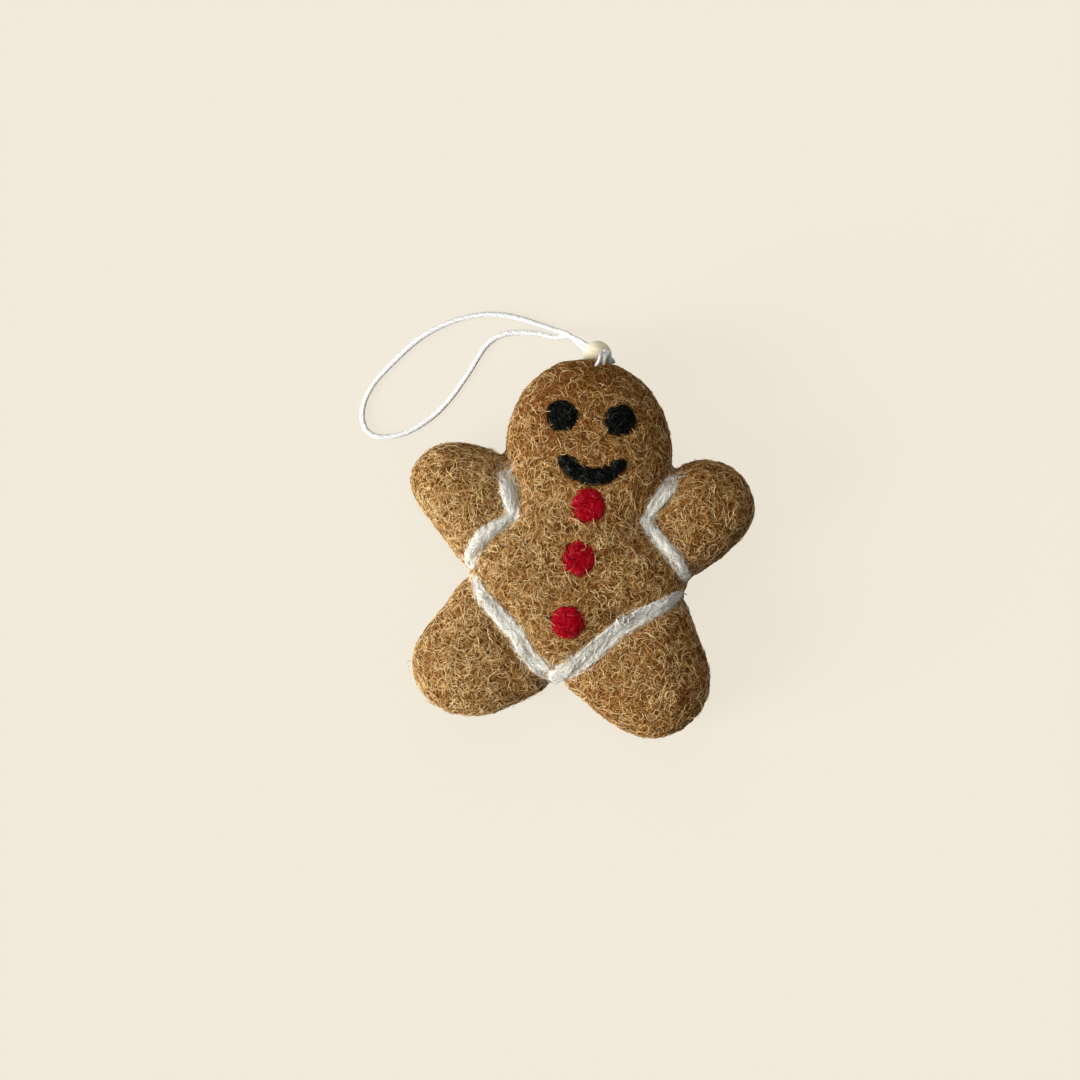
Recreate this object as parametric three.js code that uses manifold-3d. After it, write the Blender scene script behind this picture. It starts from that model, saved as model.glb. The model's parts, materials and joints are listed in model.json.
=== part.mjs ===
// A needle-felted wool gingerbread man that hangs on a tree by a loop of cotton cord.
// It lies on its back: +Z is up, out of its front, and +Y runs towards the crown of its head.
// The origin is on the floor under the middle of the figure. All lengths are in millimetres.

import * as THREE from 'three';
import Module from 'manifold-3d';
import { mergeVertices } from 'three/addons/utils/BufferGeometryUtils.js';

const wasm = await Module();
wasm.setup();

// The figure as a whole
const figureWidth = 97.4;
const figureLength = 104.2;
const trunkThickness = 27.6;
const limbThickness = 24;
const flatDepth = 0.5;
const seamGap = 0.3;
const overrun = 4;

// The felt lobes: each one's own width and length
const headWidth = 47.4;
const headLength = 56;
const torsoWidth = 62.4;
const torsoLength = 63.2;
const leftArmWidth = 35.4;
const leftArmLength = 32.4;
const rightArmWidth = 35.4;
const rightArmLength = 36.2;
const leftLegWidth = 36.2;
const leftLegLength = 36.4;
const rightLegWidth = 36;
const rightLegLength = 37.2;

// The felt patches and icing that are needled into the lobes
const patchProud = 0.4;
const patchDepth = 1;
const eyeWidth = 8.3;
const eyeLength = 8.1;
const buttonDiameter = 8.7;
const smileRadius = 9.8;
const smileWidth = 3.8;
const icingProud = 0.8;
const icingDepth = 1.2;
const leftArmIcingWidth = 3.8;
const rightArmIcingWidth = 3.3;
const leftHipIcingWidth = 3.9;
const rightHipIcingWidth = 4.1;

// The wooden bead, and the cotton cord that it is threaded on
const beadDiameter = 8;
const boreDiameter = 3.2;
const boreHeading = THREE.MathUtils.degToRad(150);
const boreDip = THREE.MathUtils.degToRad(30);
const beadAside = 0.6;
const beadPastCrown = 1.3;
const beadRise = 7.6;
const beadTravel = 6;
const beadGap = 0.3;
const cordDiameter = 1.2;
const cordRise = 0.67;
const strandSpacing = 1.4;
const knotWidth = 3.2;
const knotHeight = 2.2;
const knotGap = 0.3;
const tunnelGap = 0.3;

const felt = new THREE.MeshStandardMaterial({ color: 0x96693a, roughness: 1, metalness: 0 });
const blackFelt = new THREE.MeshStandardMaterial({ color: 0x161a1a, roughness: 1, metalness: 0 });
const redFelt = new THREE.MeshStandardMaterial({ color: 0xbe0a24, roughness: 1, metalness: 0 });
const whiteWool = new THREE.MeshStandardMaterial({ color: 0xe2e1d6, roughness: 1, metalness: 0 });
const beadWood = new THREE.MeshStandardMaterial({ color: 0xebd2a5, roughness: 0.6, metalness: 0 });
const cotton = new THREE.MeshStandardMaterial({ color: 0xf2f2ec, roughness: 0.95, metalness: 0 });

// Counts of facets
const outlineSteps = 32;
const roundSteps = 12;
const patchSteps = 16;
const strandStepsPerPoint = 3;
const cordSteps = 70;
const stitchSteps = 26;
const cordSides = 8;
const neckSteps = 6;
const beadArcSteps = 12;
const beadSides = 28;

// How full a lobe's section is: 2 is an ellipse, more is squarer
const trunkFullness = 2.5;
const limbFullness = 2.3;
const headRoundness = 2.15;

// How far the head leans to its left, in shares of half its width, on the way to the crown
const headLeanShare = -0.055;

// Each lobe's middle, in shares of half the figure's width and length
const headPlaceShare = [0.014, 0.463];
const torsoPlaceShare = [0.025, -0.154];
const leftArmPlaceShare = [-0.636, 0.173];
const rightArmPlaceShare = [0.637, 0.182];
const leftLegPlaceShare = [-0.514, -0.634];
const rightLegPlaceShare = [0.482, -0.643];

// Each lobe's outline, seen from above, in shares of half its own width and length.
// The points that lie inside a neighbour give the lobe its height at the seam.
const torsoOutlineShares = [
  [1, -0.03], [0.96, 0.21], [0.68, 0.51], [0.63, 0.76], [0.35, 1.04], [-0.07, 1.14],
  [-0.42, 1.01], [-0.7, 0.7], [-0.73, 0.46], [-0.94, 0.3], [-1, -0.06], [-0.82, -0.43],
  [-0.47, -0.79], [-0.22, -0.97], [-0.1, -1], [0.05, -0.92], [0.42, -0.57], [0.79, -0.28],
];
const leftArmOutlineShares = [
  [-0.33, 1], [-0.67, 0.89], [-0.92, 0.62], [-1, 0.25], [-0.91, -0.04], [-0.77, -0.23],
  [-0.37, -0.7], [0.02, -1.16], [0.34, -1.33], [0.85, -1.05], [1.19, -0.56], [1.19, 0],
  [0.9, 0.49], [0.54, 0.79], [0.08, 0.97],
];
const rightArmOutlineShares = [
  [1, 0.3], [0.9, 0.62], [0.67, 0.87], [0.34, 1], [0.03, 0.98], [-0.28, 0.85],
  [-0.68, 0.58], [-1.07, 0.19], [-1.19, -0.25], [-1.02, -0.69], [-0.56, -1.02],
  [-0.17, -1.07], [0.12, -0.87], [0.37, -0.66], [0.6, -0.45], [0.83, -0.18], [0.97, 0.07],
];
const leftLegOutlineShares = [
  [-1, -0.25], [-0.88, -0.61], [-0.62, -0.86], [-0.28, -0.99], [0.08, -1], [0.46, -0.88],
  [0.82, -0.66], [1.11, -0.48], [1.28, -0.25], [1.22, 0.22], [0.88, 0.77], [0.44, 1.21],
  [0.06, 1.35], [-0.24, 1.19], [-0.46, 0.86], [-0.74, 0.41], [-0.94, 0.08],
];
const rightLegOutlineShares = [
  [1, -0.08], [0.9, 0.29], [0.72, 0.63], [0.56, 0.95], [0.43, 1.19], [0.08, 1.37],
  [-0.39, 1.21], [-0.92, 0.75], [-1.33, 0.24], [-1.43, -0.13], [-1.24, -0.37],
  [-1.01, -0.51], [-0.71, -0.72], [-0.33, -0.92], [0.17, -1], [0.53, -0.89], [0.78, -0.68],
  [0.94, -0.42],
];

// The seams that the icing covers, in shares of half the torso's width and length from its middle
const leftArmUpperSeamShares = [[-0.75, 0.86], [-0.71, 0.66], [-0.62, 0.45]];
const leftArmLowerSeamShares = [[-0.62, 0.45], [-0.8, 0.32], [-0.92, 0.19], [-0.975, 0.06], [-0.985, -0.04]];
const leftHipSeamShares = [
  [-0.965, -0.11], [-0.865, -0.25], [-0.735, -0.39], [-0.5, -0.6], [-0.41, -0.73], [-0.295, -0.84],
  [-0.18, -0.92],
];
const rightHipSeamShares = [
  [-0.12, -0.93], [-0.02, -0.87], [0.12, -0.77], [0.24, -0.63], [0.48, -0.4], [0.75, -0.23],
  [0.87, -0.14], [0.96, -0.1],
];
const rightArmLowerSeamShares = [[1, 0.05], [0.95, 0.09], [0.79, 0.27], [0.62, 0.43], [0.55, 0.53]];
const rightArmUpperSeamShares = [[0.55, 0.53], [0.65, 0.72], [0.72, 0.83], [0.76, 0.95]];

// Where the seams run on past the outline, in the same shares
const leftHipNotchShare = [-1.06, -0.08];
const crotchNotchShare = [-0.12, -1.1];
const rightHipNotchShare = [1.1, -0.02];
const aroundHeadShares = [
  [0.79, 1.1], [0.85, 1.27], [1.3, 2.3], [-1.3, 2.3], [-0.87, 1.27], [-0.82, 1.03],
];
const neckShare = 0.77;

// The marks' middles, in shares of half the head's or the torso's width and length
const leftEyeShare = [-0.376, 0.4];
const rightEyeShare = [0.321, 0.411];
const smileShare = [0.04, 0.169];
const buttonShares = [[0.025, 0.601], [-0.01, 0.127], [-0.055, -0.446]];

// How the icing narrows towards its ends, in shares of its width
const leftArmTaperShares = [0.5, 1, 1, 0.55];
const rightArmTaperShares = [0.6, 1, 1, 0.5];
const leftHipTaperShares = [0.5, 1, 1, 1];
const rightHipTaperShares = [1.1, 1.05, 0.9, 0.5];
const smileTaperShares = [0.85, 1, 1, 0.85];

// The knot's core and the bow of its two strands, in shares of its width and of their reach
const knotCoreShare = 0.9;
const neckLiftShare = 1.05;

// The loop's route on the floor from the bead's straight strands round and back, chosen by hand
const loopPoints = [
  [-11.9, 59.3], [-14.3, 59.9], [-17.6, 60.6], [-21.4, 61.4], [-26.4, 62], [-31.4, 61.8], [-36.3, 60.7],
  [-40.6, 59.1], [-44.9, 56.8], [-49.2, 53.8], [-53, 50], [-56.8, 45.5], [-59.8, 41.7],
  [-62, 38.2], [-63.4, 34.8], [-64, 31.2], [-63.6, 28.2], [-62.1, 25.6], [-59.4, 24.4],
  [-56.3, 24.5], [-53, 25.4], [-49.8, 27], [-46.6, 29.4], [-43.7, 32], [-41.2, 35],
  [-39, 38.2], [-37, 41.7], [-35, 45.4], [-33.2, 49.4], [-31.3, 52.9], [-28.6, 55.6],
  [-24.8, 57.2], [-20.4, 57.8], [-16, 57.8], [-12.2, 57.3],
];

// The stitch that carries the loop, from the knot through the crown and back, chosen by hand:
// how far each point lies across, along and above the knot's middle
const stitchPoints = [
  [0.4, -0.2, 1.3], [0.1, -0.4, 2.6], [-0.4, -1.4, 4.2], [-0.6, -3.3, 4.5], [-0.4, -5.7, 4.2],
  [-1.4, -7.8, 4], [-2.9, -8.3, 4.2], [-3.8, -6.9, 4.6], [-3.2, -4.7, 5.5], [-2.2, -2.8, 6.3],
  [-1.8, -1.3, 5.8], [-1.6, -0.3, 4], [-1.1, 0.1, 1.45],
];

// Levels and places that follow from the sizes
const trunkLevel = trunkThickness / 2 - flatDepth;
const limbLevel = limbThickness / 2 - flatDepth;
const ceiling = trunkThickness + overrun;
const beadRadius = beadDiameter / 2;
const neckPlace = torsoPoint([0, neckShare]).y;
const crown = headPoint([0, 1]);

// The bead's middle, and the way its bore leads towards the loop
const beadMiddle = new THREE.Vector3(crown.x - beadAside, crown.y + beadPastCrown, beadRise);
const boreDirection = new THREE.Vector3(
  Math.cos(boreHeading) * Math.cos(boreDip),
  Math.sin(boreHeading) * Math.cos(boreDip),
  -Math.sin(boreDip),
);
const knotDirection = new THREE.Vector3(0.43, 0.08, 0.9).normalize();
const strandReach = beadRadius + beadTravel;
const knotReach = beadRadius + beadGap + cordDiameter / 2 + knotHeight / 2;
const knotMiddle = beadMiddle.clone().addScaledVector(knotDirection, knotReach);

// A closed geometry as a solid that can be joined and cut
function solidOf(geometry) {
  const bare = geometry.clone();
  bare.deleteAttribute('normal');
  bare.deleteAttribute('uv');
  const welded = mergeVertices(bare);
  return new wasm.Manifold(new wasm.Mesh({
    numProp: 3,
    vertProperties: new Float32Array(welded.attributes.position.array),
    triVerts: new Uint32Array(welded.index.array),
  }));
}

// The other way: a solid's surface as a geometry
function geometryOf(solid) {
  const surface = solid.getMesh();
  const geometry = new THREE.BufferGeometry();
  geometry.setAttribute('position', new THREE.BufferAttribute(new Float32Array(surface.vertProperties), 3));
  geometry.setIndex(new THREE.BufferAttribute(new Uint32Array(surface.triVerts), 1));
  geometry.computeVertexNormals();
  return geometry;
}

function joined(solids) {
  return solids.reduce((all, next) => all.add(next));
}

// A place given in shares of half the figure's width and length
function figurePoint([across, along]) {
  return new THREE.Vector2(across * figureWidth / 2, along * figureLength / 2);
}

// A place given in shares of half the torso's width and length, from the torso's middle
function torsoPoint([across, along]) {
  const middle = figurePoint(torsoPlaceShare);
  return new THREE.Vector2(middle.x + across * torsoWidth / 2, middle.y + along * torsoLength / 2);
}

function headPoint([across, along]) {
  const middle = figurePoint(headPlaceShare);
  return new THREE.Vector2(middle.x + across * headWidth / 2, middle.y + along * headLength / 2);
}

// A smooth closed outline through a few points
function smoothOutline(points) {
  const knots = points.map((point) => new THREE.Vector3(point.x, point.y, 0));
  const curve = new THREE.CatmullRomCurve3(knots, true, 'centripetal');
  return curve.getSpacedPoints(outlineSteps).slice(0, outlineSteps)
    .map((point) => new THREE.Vector2(point.x, point.y));
}

// The head's outline is one rounded oval that leans a little
function ovalOutline(middle, width, length) {
  return Array.from({ length: outlineSteps }, (_, step) => {
    const angle = step / outlineSteps * 2 * Math.PI;
    const across = Math.sign(Math.cos(angle)) * Math.abs(Math.cos(angle)) ** (2 / headRoundness);
    const along = Math.sign(Math.sin(angle)) * Math.abs(Math.sin(angle)) ** (2 / headRoundness);
    const lean = headLeanShare * along;
    return new THREE.Vector2(middle.x + (across + lean) * width / 2, middle.y + along * length / 2);
  });
}

// An outline that runs anticlockwise, moved outwards by a distance
function grownOutline(points, distance) {
  return points.map((point, index) => {
    const before = points[(index + points.length - 1) % points.length];
    const after = points[(index + 1) % points.length];
    const along = after.clone().sub(before).normalize();
    return new THREE.Vector2(point.x + along.y * distance, point.y - along.x * distance);
  });
}

// A lobe swells from its outline, at mid height, to its full thickness above and below its middle
function lobeSolid(lobe, grow) {
  const outline = grownOutline(lobe.outline, grow);
  const halfThickness = lobe.thickness / 2 + grow;
  const positions = [lobe.middle.x, lobe.middle.y, lobe.level - halfThickness];
  for (let ring = 1; ring < roundSteps; ring += 1) {
    const angle = (ring / roundSteps - 1 / 2) * Math.PI;
    const spread = Math.cos(angle) ** (2 / lobe.fullness);
    const rise = Math.sign(Math.sin(angle)) * Math.abs(Math.sin(angle)) ** (2 / lobe.fullness);
    for (const point of outline) {
      positions.push(
        lobe.middle.x + (point.x - lobe.middle.x) * spread,
        lobe.middle.y + (point.y - lobe.middle.y) * spread,
        lobe.level + rise * halfThickness,
      );
    }
  }
  positions.push(lobe.middle.x, lobe.middle.y, lobe.level + halfThickness);
  const geometry = new THREE.BufferGeometry();
  geometry.setAttribute('position', new THREE.Float32BufferAttribute(positions, 3));
  geometry.setIndex(lobeFaces(outline.length));
  return solidOf(geometry);
}

// The faces between a lobe's rings, and the fans at its lowest and highest point
function lobeFaces(sides) {
  const faces = [];
  const top = 1 + sides * (roundSteps - 1);
  const at = (ring, side) => 1 + (ring - 1) * sides + side % sides;
  for (let side = 0; side < sides; side += 1) {
    faces.push(0, at(1, side + 1), at(1, side));
    for (let ring = 1; ring < roundSteps - 1; ring += 1) {
      faces.push(at(ring, side), at(ring, side + 1), at(ring + 1, side + 1));
      faces.push(at(ring, side), at(ring + 1, side + 1), at(ring + 1, side));
    }
    faces.push(top, at(roundSteps - 1, side), at(roundSteps - 1, side + 1));
  }
  return faces;
}

// The six lobes that the figure is needled together from
function figureLobes() {
  const head = figurePoint(headPlaceShare);
  const torso = figurePoint(torsoPlaceShare);
  const trunk = { thickness: trunkThickness, level: trunkLevel, fullness: trunkFullness };
  return [
    { ...trunk, middle: head, outline: ovalOutline(head, headWidth, headLength) },
    { ...trunk, middle: torso, outline: smoothOutline(torsoOutlineShares.map(torsoPoint)) },
    limbLobe(leftArmPlaceShare, leftArmWidth, leftArmLength, leftArmOutlineShares),
    limbLobe(rightArmPlaceShare, rightArmWidth, rightArmLength, rightArmOutlineShares),
    limbLobe(leftLegPlaceShare, leftLegWidth, leftLegLength, leftLegOutlineShares),
    limbLobe(rightLegPlaceShare, rightLegWidth, rightLegLength, rightLegOutlineShares),
  ];
}

function limbLobe(placeShare, width, length, outlineShares) {
  const middle = figurePoint(placeShare);
  const points = outlineShares.map(([across, along]) => (
    new THREE.Vector2(middle.x + across * width / 2, middle.y + along * length / 2)
  ));
  const section = { thickness: limbThickness, level: limbLevel, fullness: limbFullness };
  return { ...section, middle, outline: smoothOutline(points) };
}

// All the lobes as one body, or a thicker or thinner one of the same form
function figureSolid(grow) {
  return joined(figureLobes().map((lobe) => lobeSolid(lobe, grow)));
}

// An upright prism over an outline, from one height to another
function prism(points, bottom, top) {
  const shape = new THREE.Shape(points);
  const geometry = new THREE.ExtrudeGeometry(shape, { depth: top - bottom, bevelEnabled: false, steps: 1 });
  geometry.translate(0, 0, bottom);
  return solidOf(geometry);
}

function block(left, right, near, far, bottom, top) {
  const corners = [[left, near], [right, near], [right, far], [left, far]];
  return prism(corners.map(([x, y]) => new THREE.Vector2(x, y)), bottom, top);
}

// The trunk's plan: head and torso inside the seams, which run on past the outline at each notch
function trunkOutline() {
  return [
    ...leftArmUpperSeamShares.slice(0, -1), ...leftArmLowerSeamShares, leftHipNotchShare,
    ...leftHipSeamShares, crotchNotchShare, ...rightHipSeamShares, rightHipNotchShare,
    ...rightArmLowerSeamShares, ...rightArmUpperSeamShares.slice(1), ...aroundHeadShares,
  ].map(torsoPoint);
}

// A strand seen from above: a band along a smooth line, with round ends, grown by a distance
function strandOutline(points, width, taperShares, grow) {
  const curve = new THREE.SplineCurve(points);
  const steps = strandStepsPerPoint * (points.length - 1);
  const left = [];
  const right = [];
  for (let step = 0; step <= steps; step += 1) {
    const share = step / steps;
    const place = curve.getPoint(share);
    const along = curve.getTangent(share);
    const half = width / 2 * taperAt(taperShares, share) + grow;
    left.push(new THREE.Vector2(place.x - along.y * half, place.y + along.x * half));
    right.push(new THREE.Vector2(place.x + along.y * half, place.y - along.x * half));
  }
  const end = roundEnd(right[steps], left[steps]);
  const start = roundEnd(left[0], right[0]);
  return [...right, ...end, ...left.reverse(), ...start];
}

// Points of the half circle that leads anticlockwise from one side of a strand to the other
function roundEnd(from, to) {
  const middle = from.clone().add(to).multiplyScalar(1 / 2);
  return [1 / 4, 1 / 2, 3 / 4].map((turn) => from.clone().rotateAround(middle, turn * Math.PI));
}

function taperAt(shares, along) {
  const place = along * (shares.length - 1);
  const first = Math.min(Math.floor(place), shares.length - 2);
  return THREE.MathUtils.lerp(shares[first], shares[first + 1], place - first);
}

function roundOutline(middle, width, length, grow) {
  const curve = new THREE.EllipseCurve(middle.x, middle.y, width / 2 + grow, length / 2 + grow);
  return curve.getPoints(patchSteps).slice(0, -1);
}

// The smile lies on a circle, and reaches a little further up on its right
function smilePoints() {
  const middle = headPoint(smileShare);
  return [-52, -34, -15, 4, 22, 39, 55].map((degrees) => {
    const angle = THREE.MathUtils.degToRad(degrees) - Math.PI / 2;
    return new THREE.Vector2(Math.cos(angle), Math.sin(angle)).multiplyScalar(smileRadius).add(middle);
  });
}

// Every mark on the front: its name, its felt and its outline, which a pocket asks for a gap wider
function marks() {
  const strands = (tables, width, tapers) => (grow) => tables.map((table) => (
    strandOutline(table.map(torsoPoint), width, tapers, grow)
  ));
  const smile = (grow) => [strandOutline(smilePoints(), smileWidth, smileTaperShares, grow)];
  const eye = (share) => (grow) => [roundOutline(headPoint(share), eyeWidth, eyeLength, grow)];
  const button = (share) => (grow) => (
    [roundOutline(torsoPoint(share), buttonDiameter, buttonDiameter, grow)]
  );
  const patch = { proud: patchProud, depth: patchDepth };
  const icing = { proud: icingProud, depth: icingDepth, material: whiteWool };
  const leftArmSeams = [leftArmUpperSeamShares, leftArmLowerSeamShares];
  const rightArmSeams = [rightArmUpperSeamShares.toReversed(), rightArmLowerSeamShares.toReversed()];
  const leftArmStrands = strands(leftArmSeams, leftArmIcingWidth, leftArmTaperShares);
  const rightArmStrands = strands(rightArmSeams, rightArmIcingWidth, rightArmTaperShares);
  const leftHipStrand = strands([leftHipSeamShares], leftHipIcingWidth, leftHipTaperShares);
  const rightHipStrand = strands([rightHipSeamShares], rightHipIcingWidth, rightHipTaperShares);
  return [
    { ...patch, name: 'eye_left', material: blackFelt, outlines: eye(leftEyeShare) },
    { ...patch, name: 'eye_right', material: blackFelt, outlines: eye(rightEyeShare) },
    { ...patch, name: 'mouth', material: blackFelt, outlines: smile },
    { ...patch, name: 'button_top', material: redFelt, outlines: button(buttonShares[0]) },
    { ...patch, name: 'button_middle', material: redFelt, outlines: button(buttonShares[1]) },
    { ...patch, name: 'button_bottom', material: redFelt, outlines: button(buttonShares[2]) },
    { ...icing, name: 'icing_right_hip', outlines: rightHipStrand },
    { ...icing, name: 'icing_left_hip', outlines: leftHipStrand },
    { ...icing, name: 'icing_left_arm', outlines: leftArmStrands },
    { ...icing, name: 'icing_right_arm', outlines: rightArmStrands },
  ];
}

function markPrism(mark, grow) {
  return joined(mark.outlines(grow).map((outline) => prism(outline, limbLevel - grow, ceiling)));
}

// A mark follows the surface: a little proud of it, and sunk a little way in
function markSolid(mark, earlier) {
  const band = markPrism(mark, 0).intersect(figureSolid(mark.proud)).subtract(figureSolid(-mark.depth));
  return earlier.reduce((rest, other) => rest.subtract(markPrism(other, seamGap)), band);
}

// What is hollowed out of the lobes for a mark
function pocketSolid(mark) {
  return markPrism(mark, seamGap).subtract(figureSolid(-mark.depth - seamGap));
}

// A cord's section swept along a smooth route
function cordGeometry(points, diameter, steps) {
  const section = new THREE.Shape();
  const radius = diameter / 2;
  section.setFromPoints(Array.from({ length: cordSides }, (_, side) => {
    const angle = side / cordSides * 2 * Math.PI;
    return new THREE.Vector2(radius * Math.cos(angle), radius * Math.sin(angle));
  }));
  const route = new THREE.CatmullRomCurve3(points, false, 'centripetal');
  return new THREE.ExtrudeGeometry(section, { extrudePath: route, steps, bevelEnabled: false });
}

function loopRoute() {
  return loopPoints.map(([x, y]) => new THREE.Vector3(x, y, cordRise));
}

function stitchGeometry(diameter) {
  const route = stitchPoints.map(([across, along, above]) => (
    new THREE.Vector3(across, along, above).add(knotMiddle)
  ));
  return cordGeometry(route, diameter, stitchSteps);
}

// Points of one strand beside the bore's axis, at distances from the bead's middle towards the loop.
// The strands lie side by side in the bead, and one above the other where the bead's travel ends.
function strandPoints(side, distances) {
  const across = new THREE.Vector3(-boreDirection.y, boreDirection.x, 0).normalize();
  return distances.map((distance) => {
    const twist = THREE.MathUtils.smoothstep(distance, beadRadius, strandReach) * Math.PI / 2;
    const outwards = across.clone().applyAxisAngle(boreDirection, -twist);
    return beadMiddle.clone().addScaledVector(boreDirection, distance)
      .addScaledVector(outwards, side * strandSpacing / 2);
  });
}

// The loop starts at the bead's inner mouth, runs through the bead, round and back through the bead.
// Its two strands stay straight as far as the bead slides.
function hangingCord() {
  const halfway = (beadRadius + strandReach) / 2;
  const distances = [-beadRadius, 0, beadRadius, halfway, strandReach, strandReach + cordDiameter];
  const outward = strandPoints(-1, distances);
  const inward = strandPoints(1, distances.toReversed());
  return cordGeometry([...outward, ...loopRoute(), ...inward], cordDiameter, cordSteps);
}

// Turns an upright axis to lie along the bore
function boreTurn() {
  return new THREE.Quaternion().setFromUnitVectors(new THREE.Vector3(0, 1, 0), boreDirection);
}

function beadGeometry() {
  const boreRadius = boreDiameter / 2;
  const mouth = Math.asin(boreRadius / beadRadius);
  const profile = Array.from({ length: beadArcSteps + 1 }, (_, step) => {
    const angle = mouth + step / beadArcSteps * (Math.PI - 2 * mouth);
    return new THREE.Vector2(beadRadius * Math.sin(angle), -beadRadius * Math.cos(angle));
  });
  profile.push(profile[0].clone());
  return new THREE.LatheGeometry(profile, beadSides);
}

// The hollow in the crown that the bead, on its whole travel, and the knot lie in
function hangerRoom() {
  const bead = new THREE.CapsuleGeometry(beadRadius + beadGap, beadTravel, 8, 24);
  bead.applyQuaternion(boreTurn());
  const middle = beadMiddle.clone().addScaledVector(boreDirection, beadTravel / 2);
  bead.translate(middle.x, middle.y, middle.z);
  const knot = new THREE.SphereGeometry(knotWidth / 2 + knotGap, 20, 14);
  knot.translate(knotMiddle.x, knotMiddle.y, knotMiddle.z);
  const neck = cordGeometry(neckPoints(0), strandSpacing + cordDiameter + 2 * knotGap, neckSteps);
  return joined([bead, knot, neck].map(solidOf));
}

// One of the two short strands between the bead's inner mouth and the knot
function neckPoints(side) {
  const start = strandPoints(side, [-beadRadius - knotGap, -beadRadius - knotGap - cordDiameter / 2]);
  const lift = beadMiddle.clone().lerp(start[1], neckLiftShare).addScaledVector(knotDirection, cordDiameter);
  return [...start, lift, knotMiddle];
}

// The knot: a tight ball of cord with one turn round it, and the two strands that come out of the bead
function knotSolid() {
  const ball = new THREE.SphereGeometry(knotWidth * knotCoreShare / 2, 14, 10);
  ball.scale(1, 1, knotHeight / knotWidth);
  const turn = new THREE.TorusGeometry(knotWidth / 2 - cordDiameter / 2, cordDiameter / 2, 8, 18);
  const tilt = new THREE.Quaternion().setFromUnitVectors(new THREE.Vector3(0, 0, 1), knotDirection);
  const placed = [ball, turn].map((geometry) => (
    geometry.applyQuaternion(tilt).translate(knotMiddle.x, knotMiddle.y, knotMiddle.z)
  ));
  const necks = [-1, 1].map((side) => cordGeometry(neckPoints(side), cordDiameter, neckSteps));
  return joined([...placed, ...necks].map(solidOf));
}

function named(name, geometry, material) {
  const mesh = new THREE.Mesh(geometry, material);
  mesh.name = name;
  return mesh;
}

// The lobes, parted at the seams and hollowed for what is needled into them
function feltMeshes() {
  const floorUp = block(-figureWidth, figureWidth, -figureLength, figureLength, 0, ceiling);
  const pockets = joined(marks().map(pocketSolid));
  const figure = figureSolid(0).intersect(floorUp).subtract(pockets);
  const outline = trunkOutline();
  const trunk = figure.intersect(prism(grownOutline(outline, -seamGap / 2), -overrun, ceiling));
  const limbs = figure.subtract(prism(grownOutline(outline, seamGap / 2), -overrun, ceiling));
  const part = (whole, left, right, near, far) => (
    whole.intersect(block(left, right, near, far, -overrun, ceiling))
  );
  const neckNear = neckPlace - seamGap / 2;
  const neckFar = neckPlace + seamGap / 2;
  const leftHip = torsoPoint(leftHipNotchShare).y;
  const rightHip = torsoPoint(rightHipNotchShare).y;
  const rooms = solidOf(stitchGeometry(cordDiameter + 2 * tunnelGap)).add(hangerRoom());
  const head = part(trunk, -figureWidth, figureWidth, neckFar, figureLength).subtract(rooms);
  return [
    named('torso', geometryOf(part(trunk, -figureWidth, figureWidth, -figureLength, neckNear)), felt),
    named('head', geometryOf(head), felt),
    named('arm_left', geometryOf(part(limbs, -figureWidth, 0, leftHip, figureLength)), felt),
    named('arm_right', geometryOf(part(limbs, 0, figureWidth, rightHip, figureLength)), felt),
    named('leg_left', geometryOf(part(limbs, -figureWidth, crotch(), -figureLength, leftHip)), felt),
    named('leg_right', geometryOf(part(limbs, crotch(), figureWidth, -figureLength, rightHip)), felt),
  ];
}

function crotch() {
  return torsoPoint(crotchNotchShare).x;
}

// A mark is cut back from the icing that was laid before it
function markMeshes() {
  const all = marks();
  const laid = (index) => all.slice(0, index).filter((mark) => mark.material === whiteWool);
  return all.map((mark, index) => named(mark.name, geometryOf(markSolid(mark, laid(index))), mark.material));
}

function hanger() {
  const group = new THREE.Group();
  const bead = named('wooden_bead', beadGeometry(), beadWood);
  bead.position.copy(beadMiddle);
  bead.quaternion.copy(boreTurn());
  group.add(bead);
  group.add(named('cord_knot', geometryOf(knotSolid()), cotton));
  group.add(named('hanging_cord', hangingCord(), cotton));
  group.add(named('cord_stitch', stitchGeometry(cordDiameter), cotton));
  return group;
}

const ornament = new THREE.Group();
ornament.add(...feltMeshes(), ...markMeshes(), hanger());

export default ornament;
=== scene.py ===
"""Dresses a needle-felted gingerbread ornament: matted wool, felt marks, wool icing, bead and cord loop."""
import json
import math

import bmesh
import bpy
import numpy as np
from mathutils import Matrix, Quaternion, Vector, noise
from mathutils.bvhtree import BVHTree
from mathutils.kdtree import KDTree

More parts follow.
